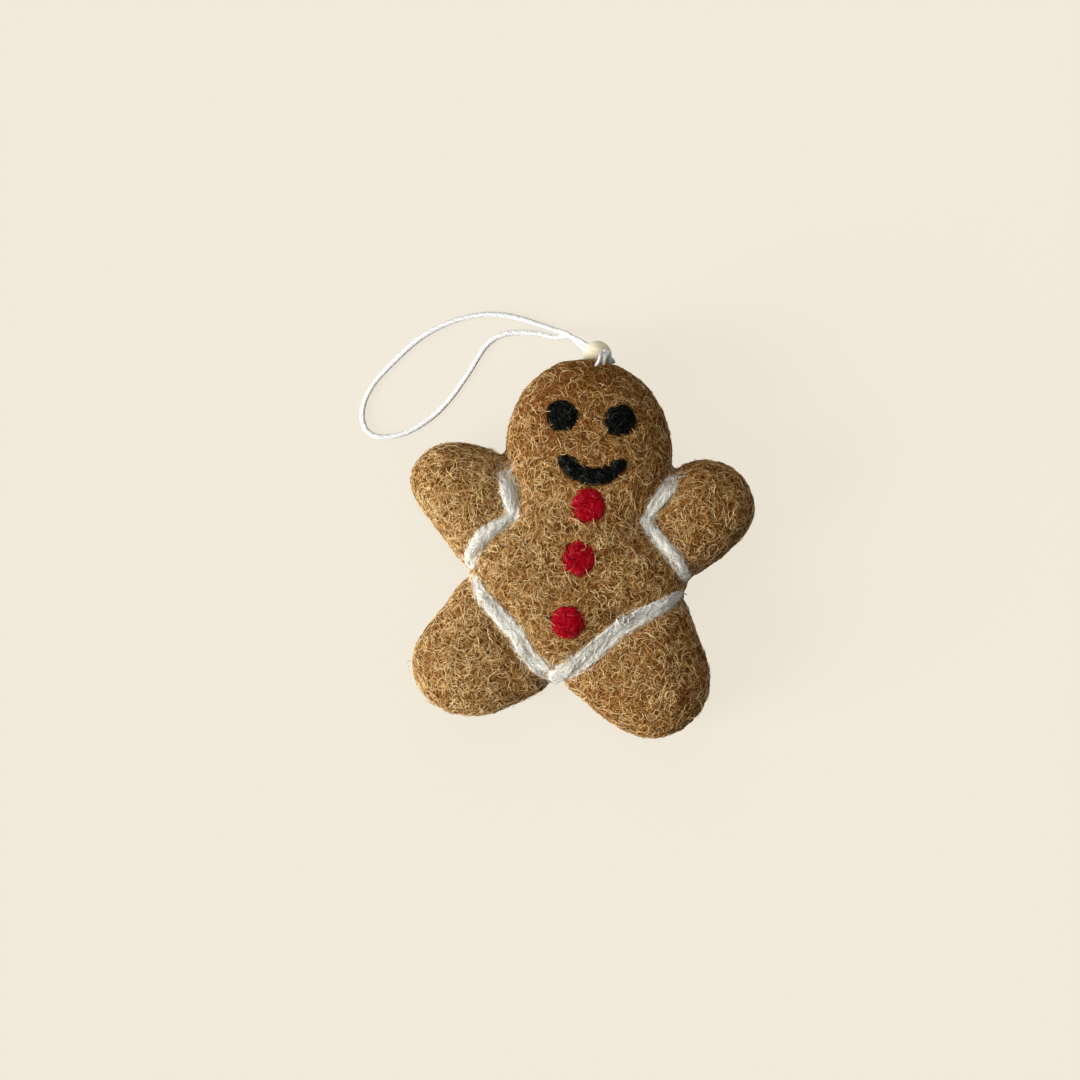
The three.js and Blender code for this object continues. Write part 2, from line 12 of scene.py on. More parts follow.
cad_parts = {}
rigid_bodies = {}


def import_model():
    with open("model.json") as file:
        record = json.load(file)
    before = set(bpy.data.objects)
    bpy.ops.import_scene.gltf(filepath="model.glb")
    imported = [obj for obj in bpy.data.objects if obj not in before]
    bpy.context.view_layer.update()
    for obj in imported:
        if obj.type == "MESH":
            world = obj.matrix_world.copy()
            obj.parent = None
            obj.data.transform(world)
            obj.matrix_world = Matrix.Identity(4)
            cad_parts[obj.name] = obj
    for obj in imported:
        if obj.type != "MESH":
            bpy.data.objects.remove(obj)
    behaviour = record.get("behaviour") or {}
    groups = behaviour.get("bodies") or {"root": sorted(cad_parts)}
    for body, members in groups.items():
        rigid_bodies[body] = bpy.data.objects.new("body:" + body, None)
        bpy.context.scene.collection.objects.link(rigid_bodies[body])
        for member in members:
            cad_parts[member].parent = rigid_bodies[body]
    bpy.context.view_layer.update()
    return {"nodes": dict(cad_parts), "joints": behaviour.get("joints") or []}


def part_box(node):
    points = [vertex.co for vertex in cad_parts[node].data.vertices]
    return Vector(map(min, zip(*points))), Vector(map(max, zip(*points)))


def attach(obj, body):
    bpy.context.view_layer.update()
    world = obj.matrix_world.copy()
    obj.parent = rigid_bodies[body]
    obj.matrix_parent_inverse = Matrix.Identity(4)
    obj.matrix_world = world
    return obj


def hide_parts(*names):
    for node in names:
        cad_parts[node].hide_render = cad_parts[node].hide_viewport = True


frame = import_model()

bl_info = {
    "name": "Felted Gingerbread Ornament",
    "version": (1, 0, 0),
    "blender": (4, 5, 0),
    "location": "3D Viewport > Sidebar > Ornament",
    "description": "Builds the wool, icing, bead and cord of a felted ornament round its packed solids",
    "category": "Add Mesh",
}

MM = 0.001
ORNAMENT = "ornament"
BEAD = "bead"

LOBES = ("torso", "head", "arm_left", "arm_right", "leg_left", "leg_right")
BLACK_MARKS = ("eye_left", "eye_right", "mouth")
RED_MARKS = ("button_top", "button_middle", "button_bottom")
MARKS = (*BLACK_MARKS, *RED_MARKS)
ICING = ("icing_left_arm", "icing_right_arm", "icing_left_hip", "icing_right_hip")

# What lies on the floor keeps this far above it
FLOOR_GAP = 0.02 * MM
STRAND_FLOOR_GAP = 0.01 * MM

# The cord's route, as chosen for the solid: the loop on the floor, from the bead round and back
CORD_RISE = 0.67 * MM
LOOP_PLACES = (
    (-11.9, 59.3), (-14.3, 59.9), (-17.6, 60.6), (-21.4, 61.4), (-26.4, 62), (-31.4, 61.8), (-36.3, 60.7),
    (-40.6, 59.1), (-44.9, 56.8), (-49.2, 53.8), (-53, 50), (-56.8, 45.5), (-59.8, 41.7),
    (-62, 38.2), (-63.4, 34.8), (-64, 31.2), (-63.6, 28.2), (-62.1, 25.6), (-59.4, 24.4),
    (-56.3, 24.5), (-53, 25.4), (-49.8, 27), (-46.6, 29.4), (-43.7, 32), (-41.2, 35),
    (-39, 38.2), (-37, 41.7), (-35, 45.4), (-33.2, 49.4), (-31.3, 52.9), (-28.6, 55.6),
    (-24.8, 57.2), (-20.4, 57.8), (-16, 57.8), (-12.2, 57.3),
)
STRAND_SPACING = 1.4 * MM
STRAND_REACHES = tuple(reach * MM for reach in (-4, 0, 4, 7, 10, 11.2))

# The stitch through the crown, from the knot's middle: across, along and above it
STITCH_PLACES = (
    (0.4, -0.2, 1.3), (0.1, -0.4, 2.6), (-0.4, -1.4, 4.2), (-0.6, -3.3, 4.5), (-0.4, -5.7, 4.2),
    (-1.4, -7.8, 4), (-2.9, -8.3, 4.2), (-3.8, -6.9, 4.6), (-3.2, -4.7, 5.5), (-2.2, -2.8, 6.3),
    (-1.8, -1.3, 5.8), (-1.6, -0.3, 4), (-1.1, 0.1, 1.45),
)
KNOT_DIRECTION = Vector((0.43, 0.08, 0.9)).normalized()
KNOT_REACH = 6 * MM
KNOT_POINTS = 90
KNOT_OVERLAP = 1.02

# A cord's plies, for each unit of its diameter
PLY_RADIUS = 0.46
PLY_OFFSET = 0.06

# The bead's travel and its middle at rest, from the frame
BORE_DIRECTION = Vector(frame["joints"][0]["axis"]).normalized()
BEAD_TRAVEL = frame["joints"][0]["range_m"][1]
BEAD_LOW, BEAD_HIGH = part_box("wooden_bead")
BEAD_MIDDLE = (BEAD_LOW + BEAD_HIGH) / 2
KNOT_MIDDLE = BEAD_MIDDLE + KNOT_DIRECTION * KNOT_REACH
HEAD_LOW, HEAD_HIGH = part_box("head")

BEAD_SIDES = 64

# How far strands stay off the bead along its travel, and off the knot's middle
BEAD_BACK = 0.5 * MM
BEAD_CLEARANCE = 0.3 * MM
KNOT_CLEARANCE = 2.3 * MM

# The felt's hand-made lumps: share of the height, size and seed; and the groove beside a patch,
# for each unit of the icing's groove
FELT_LUMPS = ((0.6, 11 * MM, 1), (0.3, 4.5 * MM, 2), (0.16, 1.8 * MM, 3))
PATCH_GROOVE = 0.35
PATCH_SHOULDER = 0.5

# How a mark's edge is shaped: width of a face, soft swelling, ragged rim, unevenness, how far it settles
# into the felt, and how deep and how far its rim rounds off; loose ends of the icing sink and fade as well
PATCH_FORM = {
    "cell": 0.3 * MM, "swell": 0.45 * MM, "ragged": 0.5 * MM, "uneven": 0.08 * MM, "settle": 0.45 * MM,
    "drop": 0.5 * MM, "reach": 2 * MM,
}
ICING_FORM = {
    "cell": 0.35 * MM, "swell": 0.1 * MM, "ragged": 0.25 * MM, "uneven": 0.02 * MM, "settle": 0.15 * MM,
    "drop": 0.8 * MM, "reach": 2 * MM, "sink": 1.5 * MM, "fade": 7 * MM,
}
RAGGED_SIZE = 1.5 * MM
UNEVEN_SIZE = 0.9 * MM
RIM_HEIGHT = 0.4

# An end of the icing nearer than this to the figure's middle line lies at the crotch and isn't loose
LOOSE_END_REACH = 12 * MM

# The strands that lie over a mark; bend and wave are turns in radians for each metre
PATCH_STRANDS = {
    "per_square": 7, "length": 3.4 * MM, "radius": 0.06 * MM, "lift": 0.14 * MM, "bend": 430, "wave": 860,
    "scatter": 0.4 * MM, "stray": 0.8 * MM,
}
ICING_STRANDS = {
    "per_square": 11, "length": 4.6 * MM, "radius": 0.065 * MM, "lift": 0.17 * MM, "bend": 250, "wave": 500,
    "scatter": 0.4 * MM, "stray": 0.9 * MM,
}
BLACK_SHARES = {"black": 0.94, "slate": 0.06}
RED_SHARES = {"red": 0.72, "rose": 0.08, "wine": 0.2}
ICING_SHARES = {"white": 0.55, "cream": 0.3, "ash": 0.15}
STRAY_SHARE = 0.03
MARK_THICKNESS = 12 * MM
MARK_STRAND_SINK = 0.05 * MM

# How strands differ: length, radius and where the arch is highest
LENGTH_SPREAD = (0.55, 1.45)
RADIUS_SPREAD = (0.65, 1.35)
SKEW_SPREAD = (0.7, 1.4)
STRAND_SIDES = 3

# The icing is combed along its line: how far that looks, how many strands lie loose, and how far they turn
LINE_SIGHT = 4.5 * MM
LOOSE_SHARE = 0.22
LOOSE_TURN = 1.5
COMBED_TURN = 0.35

# The body's wools, and how much of each lies in the mat and in the curls over it
TINTS = ("brown", "golden", "straw", "russet", "umber")
MAT_SHARES = (0.42, 0.2, 0, 0.12, 0.26)
CURL_SHARES = (0.2, 0.4, 0.35, 0.05, 0)
MAT_BEND = 350
CURL_BEND = 520
RIM_BEND = 700
RIM_REACH = 1.3 * MM
SKIN_GAP = 0.05 * MM
MOST_FACES = 195000

# How much of a strand may lie over a patch or over the icing, and what counts as over it
PATCH_COVER = 0.12
ICING_COVER = 0.6
OVER_MARK = 0.25 * MM

# Fewer strands lie on the back, below this level
BACK_LEVEL = 6 * MM
BACK_SHARE = 0.45

# The strands' swirls on top, and their pull round the sides
SWIRL_SIZE = 8 * MM
SWIRL_SEEDS = (31, 32, 33)
SWIRL_PULL = 1.3
SIDE_PULL = 2

# The long loose hairs, how far they stay off the marks, and how low they start
HAIR_SHAPE = {
    "length": 11 * MM, "radius": 0.06 * MM, "lift": 0.8 * MM, "bend": 260, "wave": 480, "steps": 22,
}
HAIR_CLEARANCE = 1.4 * MM
HAIR_LOWEST = 4 * MM

# The reddish patch from the head's middle, the reach of the paler wool towards the left, partly the wool's own
# tone and partly painted light, and the size of the mottling
REDDISH_LEFT = 12 * MM
REDDISH_UP = 5 * MM
REDDISH_WIDTH = 9 * MM
REDDISH_LENGTH = 14 * MM
PAINTED_LIGHT_REACH = 40 * MM
MOTTLE_SIZE = 9 * MM

# How much each of those changes the share of a wool; the painted light makes the wool paler towards the left,
# and the painted shade makes it darker towards the top of the head
SHIFTS = {
    "reddish russet": 0.45, "mottled russet": 0.15, "mottled golden": 0.2, "painted light golden": 0.3,
    "reddish golden": 0.5, "painted light straw": 0.45, "painted shade straw": 0.4, "painted shade brown": 0.6, "painted shade umber": 1.5,
    "painted light umber": 0.6,
}

# The camera looks straight down, turned so that the figure leans as in the photograph
VIEW_PLACE = (-10.5 * MM, 0.1 * MM)
VIEW_WIDTH = 302.4 * MM
VIEW_LEVEL = 13 * MM
VIEW_TURN = math.radians(6)
LENS = 250
SENSOR = 36

# Each light's heading and height in degrees, its power and its softness in degrees
LIGHTS = {
    "key_light": (-160, 23, 4.65, 30),
    "fill_light": (-115, 66, 0.35, 50),
    "crown_light": (112, 48, 1, 50),
}
WORLD_COLOUR = (1.0, 0.98, 0.95, 1)
WORLD_STRENGTH = 0.16
FLOOR_HALF_WIDTH = 2.0
FLOOR_GLOW = 0.89


def paint(red, green, blue):
    """A colour as seen on a screen, 0 to 255, as a linear one"""
    channels = (red / 255, green / 255, blue / 255)
    return tuple(c / 12.92 if c <= 0.04045 else ((c + 0.055) / 1.055) ** 2.4 for c in channels)


def colour_setting(name, description, red, green, blue):
    return bpy.props.FloatVectorProperty(
        name=name, description=description, subtype="COLOR", default=paint(red, green, blue))


def length_setting(name, description, millimetres):
    return bpy.props.FloatProperty(
        name=name, description=description, default=millimetres * MM, unit="LENGTH")


def count_setting(name, description, count):
    return bpy.props.IntProperty(name=name, description=description, default=count)


class WoolColours(bpy.types.PropertyGroup):
    """The dyed wools that the figure is felted from, and the painted shade in their hollows"""

    brown: colour_setting("Brown", "Most of the mat", 147, 98, 46)
    golden: colour_setting("Golden", "Most of the curls", 194, 149, 86)
    straw: colour_setting("Straw", "The palest curls", 238, 207, 150)
    russet: colour_setting("Russet", "The reddish strands", 154, 93, 48)
    umber: colour_setting("Umber", "The darkest strands of the mat", 90, 53, 19)
    felt: colour_setting("Felt", "The felt under the strands", 110, 68, 26)
    # Painted shade: darkens the felt's small hollows
    pit_shade: colour_setting("Pit", "The felt's small hollows", 50, 27, 8)
    black: colour_setting("Black", "Eyes and mouth", 5, 7, 7)
    slate: colour_setting("Slate", "The grey strands among the black", 96, 100, 90)
    # Painted shade: darkens the hollows in the black
    pitch: colour_setting("Pitch", "The hollows in the black", 4, 5, 6)
    red: colour_setting("Red", "The buttons", 190, 0, 26)
    rose: colour_setting("Rose", "The pale strands among the red", 222, 84, 94)
    # Painted shade in the hollows of the red, and also the colour of the darker red strands
    wine: colour_setting("Wine", "The hollows in the red", 104, 0, 10)
    cream: colour_setting("Cream", "The icing", 236, 231, 217)
    ash: colour_setting("Ash", "The shaded wool in the icing", 200, 191, 170)
    white: colour_setting("White", "The icing's strands", 255, 254, 248)


class FeltSizes(bpy.types.PropertyGroup):
    """The felted body's skin and the strands that lie on it"""

    cell: length_setting("Skin Cell", "Width of a face of the skin", 0.6)
    swell: length_setting("Seam Swell", "How far the lobes swell to close their seams", 0.4)
    inset: length_setting("Strand Room", "How far the skin lies inside the solid, under its strands", 0.3)
    lump: length_setting("Lump Height", "Height of the hand-made lumps", 0.45)
    groove: length_setting("Groove Depth", "How deep the icing pulls the felt in", 0.6)
    shoulder: length_setting("Groove Shoulder", "How far the groove's shoulder reaches", 3.2)
    mat_count: count_setting("Mat Strands", "Darker strands that lie flat", 33000)
    mat_length: length_setting("Mat Strand Length", "Usual length of a flat strand", 5.2)
    mat_lift: length_setting("Mat Lift", "How far a flat strand's middle stands off", 0.1)
    curl_count: count_setting("Curls", "Paler curly strands over the mat", 42000)
    curl_length: length_setting("Curl Length", "Usual length of a curl", 4.8)
    curl_lift: length_setting("Curl Lift", "How far a curl's middle stands off", 0.26)
    rim_count: count_setting("Rim Tries", "Places tried for short strands beside the marks", 150000)
    rim_length: length_setting("Rim Strand Length", "Usual length of a strand beside a mark", 2.4)
    strand_radius: length_setting("Strand Radius", "Usual radius of a strand", 0.084)
    hair_count: count_setting("Loose Hairs", "Long curly hairs that stand off the body", 130)


class CordSizes(bpy.types.PropertyGroup):
    """The cotton cord"""

    diameter: length_setting("Diameter", "Across all its plies", 1.2)
    lay: length_setting("Lay Length", "One full turn of a ply", 7)
    slack: bpy.props.FloatProperty(
        name="Slack", description="How much the loop swells where nothing pulls at it", default=0.18,
        subtype="FACTOR")
    stitch: length_setting("Stitch Diameter", "Across the cord where it is pulled tight", 0.95)
    knot_width: length_setting("Knot Width", "Across the knot", 2.9)
    colour: colour_setting("Cotton", "The cord's colour", 253, 253, 250)


class BeadSizes(bpy.types.PropertyGroup):
    """The turned wooden bead"""

    diameter: length_setting("Diameter", "Across the bead", 8)
    bore: length_setting("Bore", "Across its hole", 3.2)
    mouth_round: length_setting("Mouth Rounding", "Radius at the edge of its hole", 0.3)
    pale: colour_setting("Pale Wood", "Between the grain lines", 255, 244, 214)
    grain: colour_setting("Grain", "The grain lines", 234, 210, 168)


# Node groups that several materials share


def new_group(name, inputs, outputs):
    """An empty shader group with its sockets, and its two end nodes"""
    group = bpy.data.node_groups.new(name, "ShaderNodeTree")
    for label, kind, default in inputs:
        socket = group.interface.new_socket(label, in_out="INPUT", socket_type=kind)
        if default is not None:
            socket.default_value = default
    for label, kind in outputs:
        group.interface.new_socket(label, in_out="OUTPUT", socket_type=kind)
    return group, group.nodes.new("NodeGroupInput"), group.nodes.new("NodeGroupOutput")


def set_inputs(node, values):
    for label, value in values.items():
        node.inputs[label].default_value = value


def maths(tree, operation, first, second=None, clamp=False):
    """A Math node on two values, each a socket or a number"""
    node = tree.nodes.new("ShaderNodeMath")
    node.operation = operation
    node.use_clamp = clamp
    for socket, value in zip(node.inputs, (first, second)):
        if value is None:
            continue
        if isinstance(value, bpy.types.NodeSocket):
            tree.links.new(value, socket)
        else:
            socket.default_value = value
    return node.outputs[0]


def noise_node(tree, place, scale, detail, distortion=0.0):
    node = tree.nodes.new("ShaderNodeTexNoise")
    set_inputs(node, {"Detail": detail, "Distortion": distortion})
    tree.links.new(place, node.inputs["Vector"])
    if isinstance(scale, bpy.types.NodeSocket):
        tree.links.new(scale, node.inputs["Scale"])
    else:
        node.inputs["Scale"].default_value = scale
    return node


def past(tree, larger, smaller, steepness):
    """How far one value lies past another, made steeper and kept from 0 to 1"""
    return maths(tree, "MULTIPLY", maths(tree, "SUBTRACT", larger, smaller), steepness, clamp=True)


def ridges(tree, value, sharpness):
    """Thin curving lines where a noise crosses its middle value"""
    off_middle = maths(tree, "ABSOLUTE", maths(tree, "SUBTRACT", value, 0.5))
    return maths(tree, "SUBTRACT", 1.0, maths(tree, "MULTIPLY", off_middle, sharpness), clamp=True)


def matted_wool_group():
    """Curly strands, the pits between them and the broad clumps of a felted surface"""
    group, given, made = new_group(
        "Matted Wool",
        [("Vector", "NodeSocketVector", None), ("Scale", "NodeSocketFloat", 900.0),
         ("Clump Scale", "NodeSocketFloat", 90.0)],
        [("Strands", "NodeSocketFloat"), ("Pits", "NodeSocketFloat"), ("Clumps", "NodeSocketFloat"),
         ("Height", "NodeSocketFloat")],
    )
    place = given.outputs["Vector"]
    scale = given.outputs["Scale"]
    shifted = group.nodes.new("ShaderNodeVectorMath")
    shifted.operation = "ADD"
    shifted.inputs[1].default_value = (0.37, 0.11, 0.23)
    group.links.new(place, shifted.inputs[0])
    wider = maths(group, "MULTIPLY", scale, 0.7)
    first = noise_node(group, place, scale, detail=1.5, distortion=2.4)
    second = noise_node(group, shifted.outputs[0], wider, detail=1.0, distortion=3.2)
    strands = maths(
        group, "MAXIMUM", ridges(group, first.outputs[0], 11.0), ridges(group, second.outputs[0], 13.0))
    pit_scale = maths(group, "MULTIPLY", scale, 0.9)
    deep = noise_node(group, place, pit_scale, detail=2.0, distortion=1.0)
    pits = past(group, 0.46, deep.outputs[0], 7.0)
    broad = noise_node(group, place, given.outputs["Clump Scale"], detail=3.0, distortion=0.6)
    height = maths(group, "SUBTRACT", strands, maths(group, "MULTIPLY", pits, 0.8))
    group.links.new(strands, made.inputs["Strands"])
    group.links.new(pits, made.inputs["Pits"])
    group.links.new(broad.outputs[0], made.inputs["Clumps"])
    group.links.new(height, made.inputs["Height"])
    return group


def sleek_fibre_group():
    """Fine streaks that run across a surface, such as combed wool or spun cotton shows"""
    group, given, made = new_group(
        "Sleek Fibres",
        [("Vector", "NodeSocketVector", None), ("Scale", "NodeSocketFloat", 1500.0)],
        [("Streaks", "NodeSocketFloat"), ("Shade", "NodeSocketFloat")],
    )
    place = given.outputs["Vector"]
    scale = given.outputs["Scale"]
    wider = maths(group, "MULTIPLY", scale, 0.22)
    fine = noise_node(group, place, scale, detail=3.0, distortion=1.2)
    wide = noise_node(group, place, wider, detail=2.0, distortion=0.8)
    group.links.new(ridges(group, fine.outputs[0], 6.0), made.inputs["Streaks"])
    group.links.new(past(group, 0.55, wide.outputs[0], 4.0), made.inputs["Shade"])
    return group


# Materials


def new_material(name, roughness, shine=0.04):
    """A material, its node tree and its Principled shader"""
    material = bpy.data.materials.new(name)
    material.use_nodes = True
    tree = material.node_tree
    shader = tree.nodes["Principled BSDF"]
    set_inputs(shader, {"Roughness": roughness, "Specular IOR Level": shine})
    return material, tree, shader


def coordinates(tree):
    return tree.nodes.new("ShaderNodeTexCoord").outputs["Object"]


def mixed(tree, share, first, second):
    """One colour turning into another by a share; each is a socket or a colour"""
    node = tree.nodes.new("ShaderNodeMix")
    node.data_type = "RGBA"
    tree.links.new(share, node.inputs["Factor"])
    for socket, colour in ((node.inputs["A"], first), (node.inputs["B"], second)):
        if isinstance(colour, bpy.types.NodeSocket):
            tree.links.new(colour, socket)
        else:
            socket.default_value = (*colour, 1)
    return node.outputs["Result"]


def bump(tree, shader, height, distance, strength):
    node = tree.nodes.new("ShaderNodeBump")
    set_inputs(node, {"Distance": distance, "Strength": strength})
    tree.links.new(height, node.inputs["Height"])
    tree.links.new(node.outputs[0], shader.inputs["Normal"])


def placed_group(tree, name, vector, values):
    node = tree.nodes.new("ShaderNodeGroup")
    node.node_tree = bpy.data.node_groups[name]
    tree.links.new(vector, node.inputs["Vector"])
    set_inputs(node, values)
    return node


def matted_material(name, middle, pale, deep, other, scale):
    """Felted wool: strands of the pale tint over the middle one, clumps of another, and deep pits darkened
    towards the deep tint as painted shade
    """
    material, tree, shader = new_material(name, roughness=0.95)
    wool = placed_group(tree, "Matted Wool", coordinates(tree), {"Scale": scale, "Clump Scale": scale / 9})
    clump = past(tree, wool.outputs["Clumps"], 0.42, 3.2)
    base = mixed(tree, clump, middle, other)
    lit = mixed(tree, maths(tree, "MULTIPLY", wool.outputs["Strands"], 0.6), base, pale)
    # Painted shade: the pits are darkened towards the deep tint
    shade = maths(tree, "MULTIPLY", wool.outputs["Pits"], 0.85)
    tree.links.new(mixed(tree, shade, lit, deep), shader.inputs["Base Color"])
    bump(tree, shader, wool.outputs["Height"], distance=0.35 * MM, strength=0.8)
    return material


def strand_material(name, colour):
    """One dyed strand: too thin to show a pattern, so each tint is a material"""
    material, _, shader = new_material(name, roughness=0.75)
    shader.inputs["Base Color"].default_value = (*colour, 1)
    return material


def icing_material(name, cream, ash):
    material, tree, shader = new_material(name, roughness=0.9)
    wool = placed_group(tree, "Sleek Fibres", coordinates(tree), {"Scale": 1400.0})
    shaded = mixed(tree, maths(tree, "MULTIPLY", wool.outputs["Shade"], 0.6), cream, ash)
    tree.links.new(
        mixed(tree, maths(tree, "MULTIPLY", wool.outputs["Streaks"], 0.3), shaded, (1, 1, 1)),
        shader.inputs["Base Color"])
    bump(tree, shader, wool.outputs["Streaks"], distance=0.12 * MM, strength=0.6)
    return material


def cotton_material(name, colour):
    material, tree, shader = new_material(name, roughness=0.85, shine=0.2)
    yarn = placed_group(tree, "Sleek Fibres", coordinates(tree), {"Scale": 2600.0})
    dim = tuple(channel * 0.8 for channel in colour)
    tree.links.new(
        mixed(tree, maths(tree, "MULTIPLY", yarn.outputs["Shade"], 0.4), colour, dim),
        shader.inputs["Base Color"])
    bump(tree, shader, yarn.outputs["Streaks"], distance=0.08 * MM, strength=0.6)
    return material


def wood_material(name, pale, grain):
    """Bare turned wood: rings stretched along the bore, a few short pores and a worn, hand-rubbed gloss"""
    material, tree, shader = new_material(name, roughness=0.5, shine=0.4)
    stretched = tree.nodes.new("ShaderNodeMapping")
    stretched.vector_type = "POINT"
    turn = Vector((0, 0, 1)).rotation_difference(BORE_DIRECTION).inverted().to_euler()
    set_inputs(stretched, {"Rotation": turn, "Scale": (1, 1, 0.16)})
    tree.links.new(coordinates(tree), stretched.inputs["Vector"])
    rings = tree.nodes.new("ShaderNodeTexWave")
    rings.wave_type = "RINGS"
    set_inputs(rings, {"Scale": 260, "Distortion": 6, "Detail": 3})
    tree.links.new(stretched.outputs[0], rings.inputs["Vector"])
    pores = noise_node(tree, stretched.outputs[0], 2600, detail=2.0)
    pore = past(tree, pores.outputs[0], 0.6, 6.0)
    ring = maths(tree, "MULTIPLY", rings.outputs["Fac"], 0.45)
    banded = mixed(tree, ring, pale, grain)
    dark = tuple(channel * 0.7 for channel in grain)
    tree.links.new(mixed(tree, pore, banded, dark), shader.inputs["Base Color"])
    tree.links.new(
        maths(tree, "ADD", maths(tree, "MULTIPLY", rings.outputs["Fac"], 0.15), 0.42),
        shader.inputs["Roughness"])
    bump(tree, shader, maths(tree, "SUBTRACT", 0.5, pore), distance=0.05 * MM, strength=0.5)
    return material


# Meshes from arrays


def shade_smooth(mesh):
    mesh.polygons.foreach_set("use_smooth", np.ones(len(mesh.polygons), bool))


def mesh_object(name, points, faces, material):
    """A smooth object from points and lists of faces, each list with its own number of corners"""
    mesh = bpy.data.meshes.new(name)
    mesh.vertices.add(len(points))
    mesh.vertices.foreach_set("co", np.asarray(points, np.float32).ravel())
    corners = np.concatenate([np.asarray(part, np.int32).ravel() for part in faces])
    sizes = np.concatenate([np.full(len(part), np.shape(part)[1], np.int32) for part in faces])
    mesh.loops.add(len(corners))
    mesh.loops.foreach_set("vertex_index", corners)
    mesh.polygons.add(len(sizes))
    mesh.polygons.foreach_set("loop_start", np.concatenate([[0], np.cumsum(sizes)[:-1]]).astype(np.int32))
    mesh.update(calc_edges=True)
    shade_smooth(mesh)
    mesh.materials.append(material)
    piece = bpy.data.objects.new(name, mesh)
    bpy.context.scene.collection.objects.link(piece)
    return piece


def unit(vectors):
    return vectors / np.maximum(np.linalg.norm(vectors, axis=-1, keepdims=True), 1e-12)


def tube_faces(count, rings, sides):
    """Side quads and end caps of a number of tubes with the same rings and sides"""
    tube, ring, side = np.meshgrid(
        np.arange(count), np.arange(rings - 1), np.arange(sides), indexing="ij")
    corner = tube * rings * sides + ring * sides
    after = (side + 1) % sides
    quads = np.stack(
        [corner + side, corner + after, corner + sides + after, corner + sides + side], axis=-1)
    first = np.arange(count)[:, None] * rings * sides + np.arange(sides)[None, ::-1]
    last = np.arange(count)[:, None] * rings * sides + (rings - 1) * sides + np.arange(sides)[None, :]
    return [quads.reshape(-1, 4), np.concatenate([first, last])]


def tubes(paths, across, radii, sides):
    """Closed tubes along paths (tube, ring, 3), with one side direction and one radius for each ring"""
    along = unit(np.gradient(paths, axis=1))
    right = unit(np.cross(across, along))
    up = np.cross(along, right)
    angles = np.arange(sides) / sides * 2 * math.pi
    round_section = (
        np.cos(angles)[None, None, :, None] * right[:, :, None, :]
        + np.sin(angles)[None, None, :, None] * up[:, :, None, :]
    )
    points = paths[:, :, None, :] + radii[:, :, None, None] * round_section
    return points.reshape(-1, 3), tube_faces(len(paths), paths.shape[1], sides)


def carried_frames(path):
    """A side direction for each point of one path, carried along it without twisting"""
    along = unit(np.gradient(path, axis=0))
    side = np.cross(along[0], (0.0, 0.0, 1.0))
    if np.linalg.norm(side) < 0.1:
        side = np.cross(along[0], (1.0, 0.0, 0.0))
    sides = []
    for direction in along:
        side = side - direction * np.dot(side, direction)
        side = side / np.linalg.norm(side)
        sides.append(side)
    return along, np.array(sides)


def smooth_route(points, steps_each):
    """A centripetal Catmull-Rom curve through the points"""
    points = np.asarray(points, float)
    ends = [2 * points[0] - points[1], *points, 2 * points[-1] - points[-2]]
    route = []
    for before, start, end, after in zip(ends, ends[1:], ends[2:], ends[3:]):
        gaps = [
            max(np.linalg.norm(b - a) ** 0.5, 1e-6)
            for a, b in ((before, start), (start, end), (end, after))
        ]
        leave = (start - before) / gaps[0] - (end - before) / (gaps[0] + gaps[1]) + (end - start) / gaps[1]
        arrive = (end - start) / gaps[1] - (after - start) / (gaps[1] + gaps[2]) + (after - end) / gaps[2]
        leave, arrive = leave * gaps[1], arrive * gaps[1]
        for step in range(steps_each):
            t = step / steps_each
            route.append(
                start + leave * t + (3 * (end - start) - 2 * leave - arrive) * t ** 2
                + (2 * (start - end) + leave + arrive) * t ** 3)
    route.append(points[-1])
    return np.array(route)


def spaced(route, gap):
    """The same route with points at even distances"""
    steps = np.linalg.norm(np.diff(route, axis=0), axis=1)
    reached = np.concatenate([[0], np.cumsum(steps)])
    wanted = np.linspace(0, reached[-1], max(int(reached[-1] / gap), 4) + 1)
    return np.stack([np.interp(wanted, reached, route[:, axis]) for axis in range(3)], axis=1)


def ply_cord(route, diameter, lay, loose=0.0, plies=3, sides=9):
    """Points and faces of a soft twisted cord: its plies swell by the loose share away from its ends"""
    path = spaced(route, diameter / 4)
    along, side = carried_frames(path)
    other = np.cross(along, side)
    reached = np.arange(len(path)) * diameter / 4
    inward = np.clip(np.minimum(reached, reached[-1] - reached) / (4 * lay), 0, 1)
    slack = 1 + loose * (2 * inward - 1)
    slack = slack + loose / 2 * np.sin(reached / lay * 1.3) * np.sin(reached / lay * 0.37 + 1)
    ply_radius = diameter * PLY_RADIUS * slack
    offset = (diameter * PLY_OFFSET * slack)[:, None]
    wound = []
    for ply in range(plies):
        turn = (reached / lay + ply / plies) * 2 * math.pi
        wound.append(path + offset * (np.cos(turn)[:, None] * side + np.sin(turn)[:, None] * other))
    paths = np.array(wound)
    radii = np.broadcast_to(ply_radius, paths.shape[:2])
    points, faces = tubes(paths, np.broadcast_to(side, paths.shape), radii, sides)
    points[:, 2] = np.maximum(points[:, 2], FLOOR_GAP)
    return points, faces


def joined_parts(parts):
    """Several lots of points and faces as one, faces kept by their number of corners"""
    points = []
    faces = {}
    start = 0
    for part_points, part_faces in parts:
        points.append(part_points)
        for lot in part_faces:
            faces.setdefault(np.shape(lot)[1], []).append(np.asarray(lot) + start)
        start += len(part_points)
    return np.concatenate(points), [np.concatenate(lots) for lots in faces.values()]


# Skins from the solids


def arrays_of(mesh):
    points = np.empty(len(mesh.vertices) * 3)
    mesh.vertices.foreach_get("co", points)
    edges = np.empty(len(mesh.edges) * 2, np.int64)
    mesh.edges.foreach_get("vertices", edges)
    return points.reshape(-1, 3), edges.reshape(-1, 2)


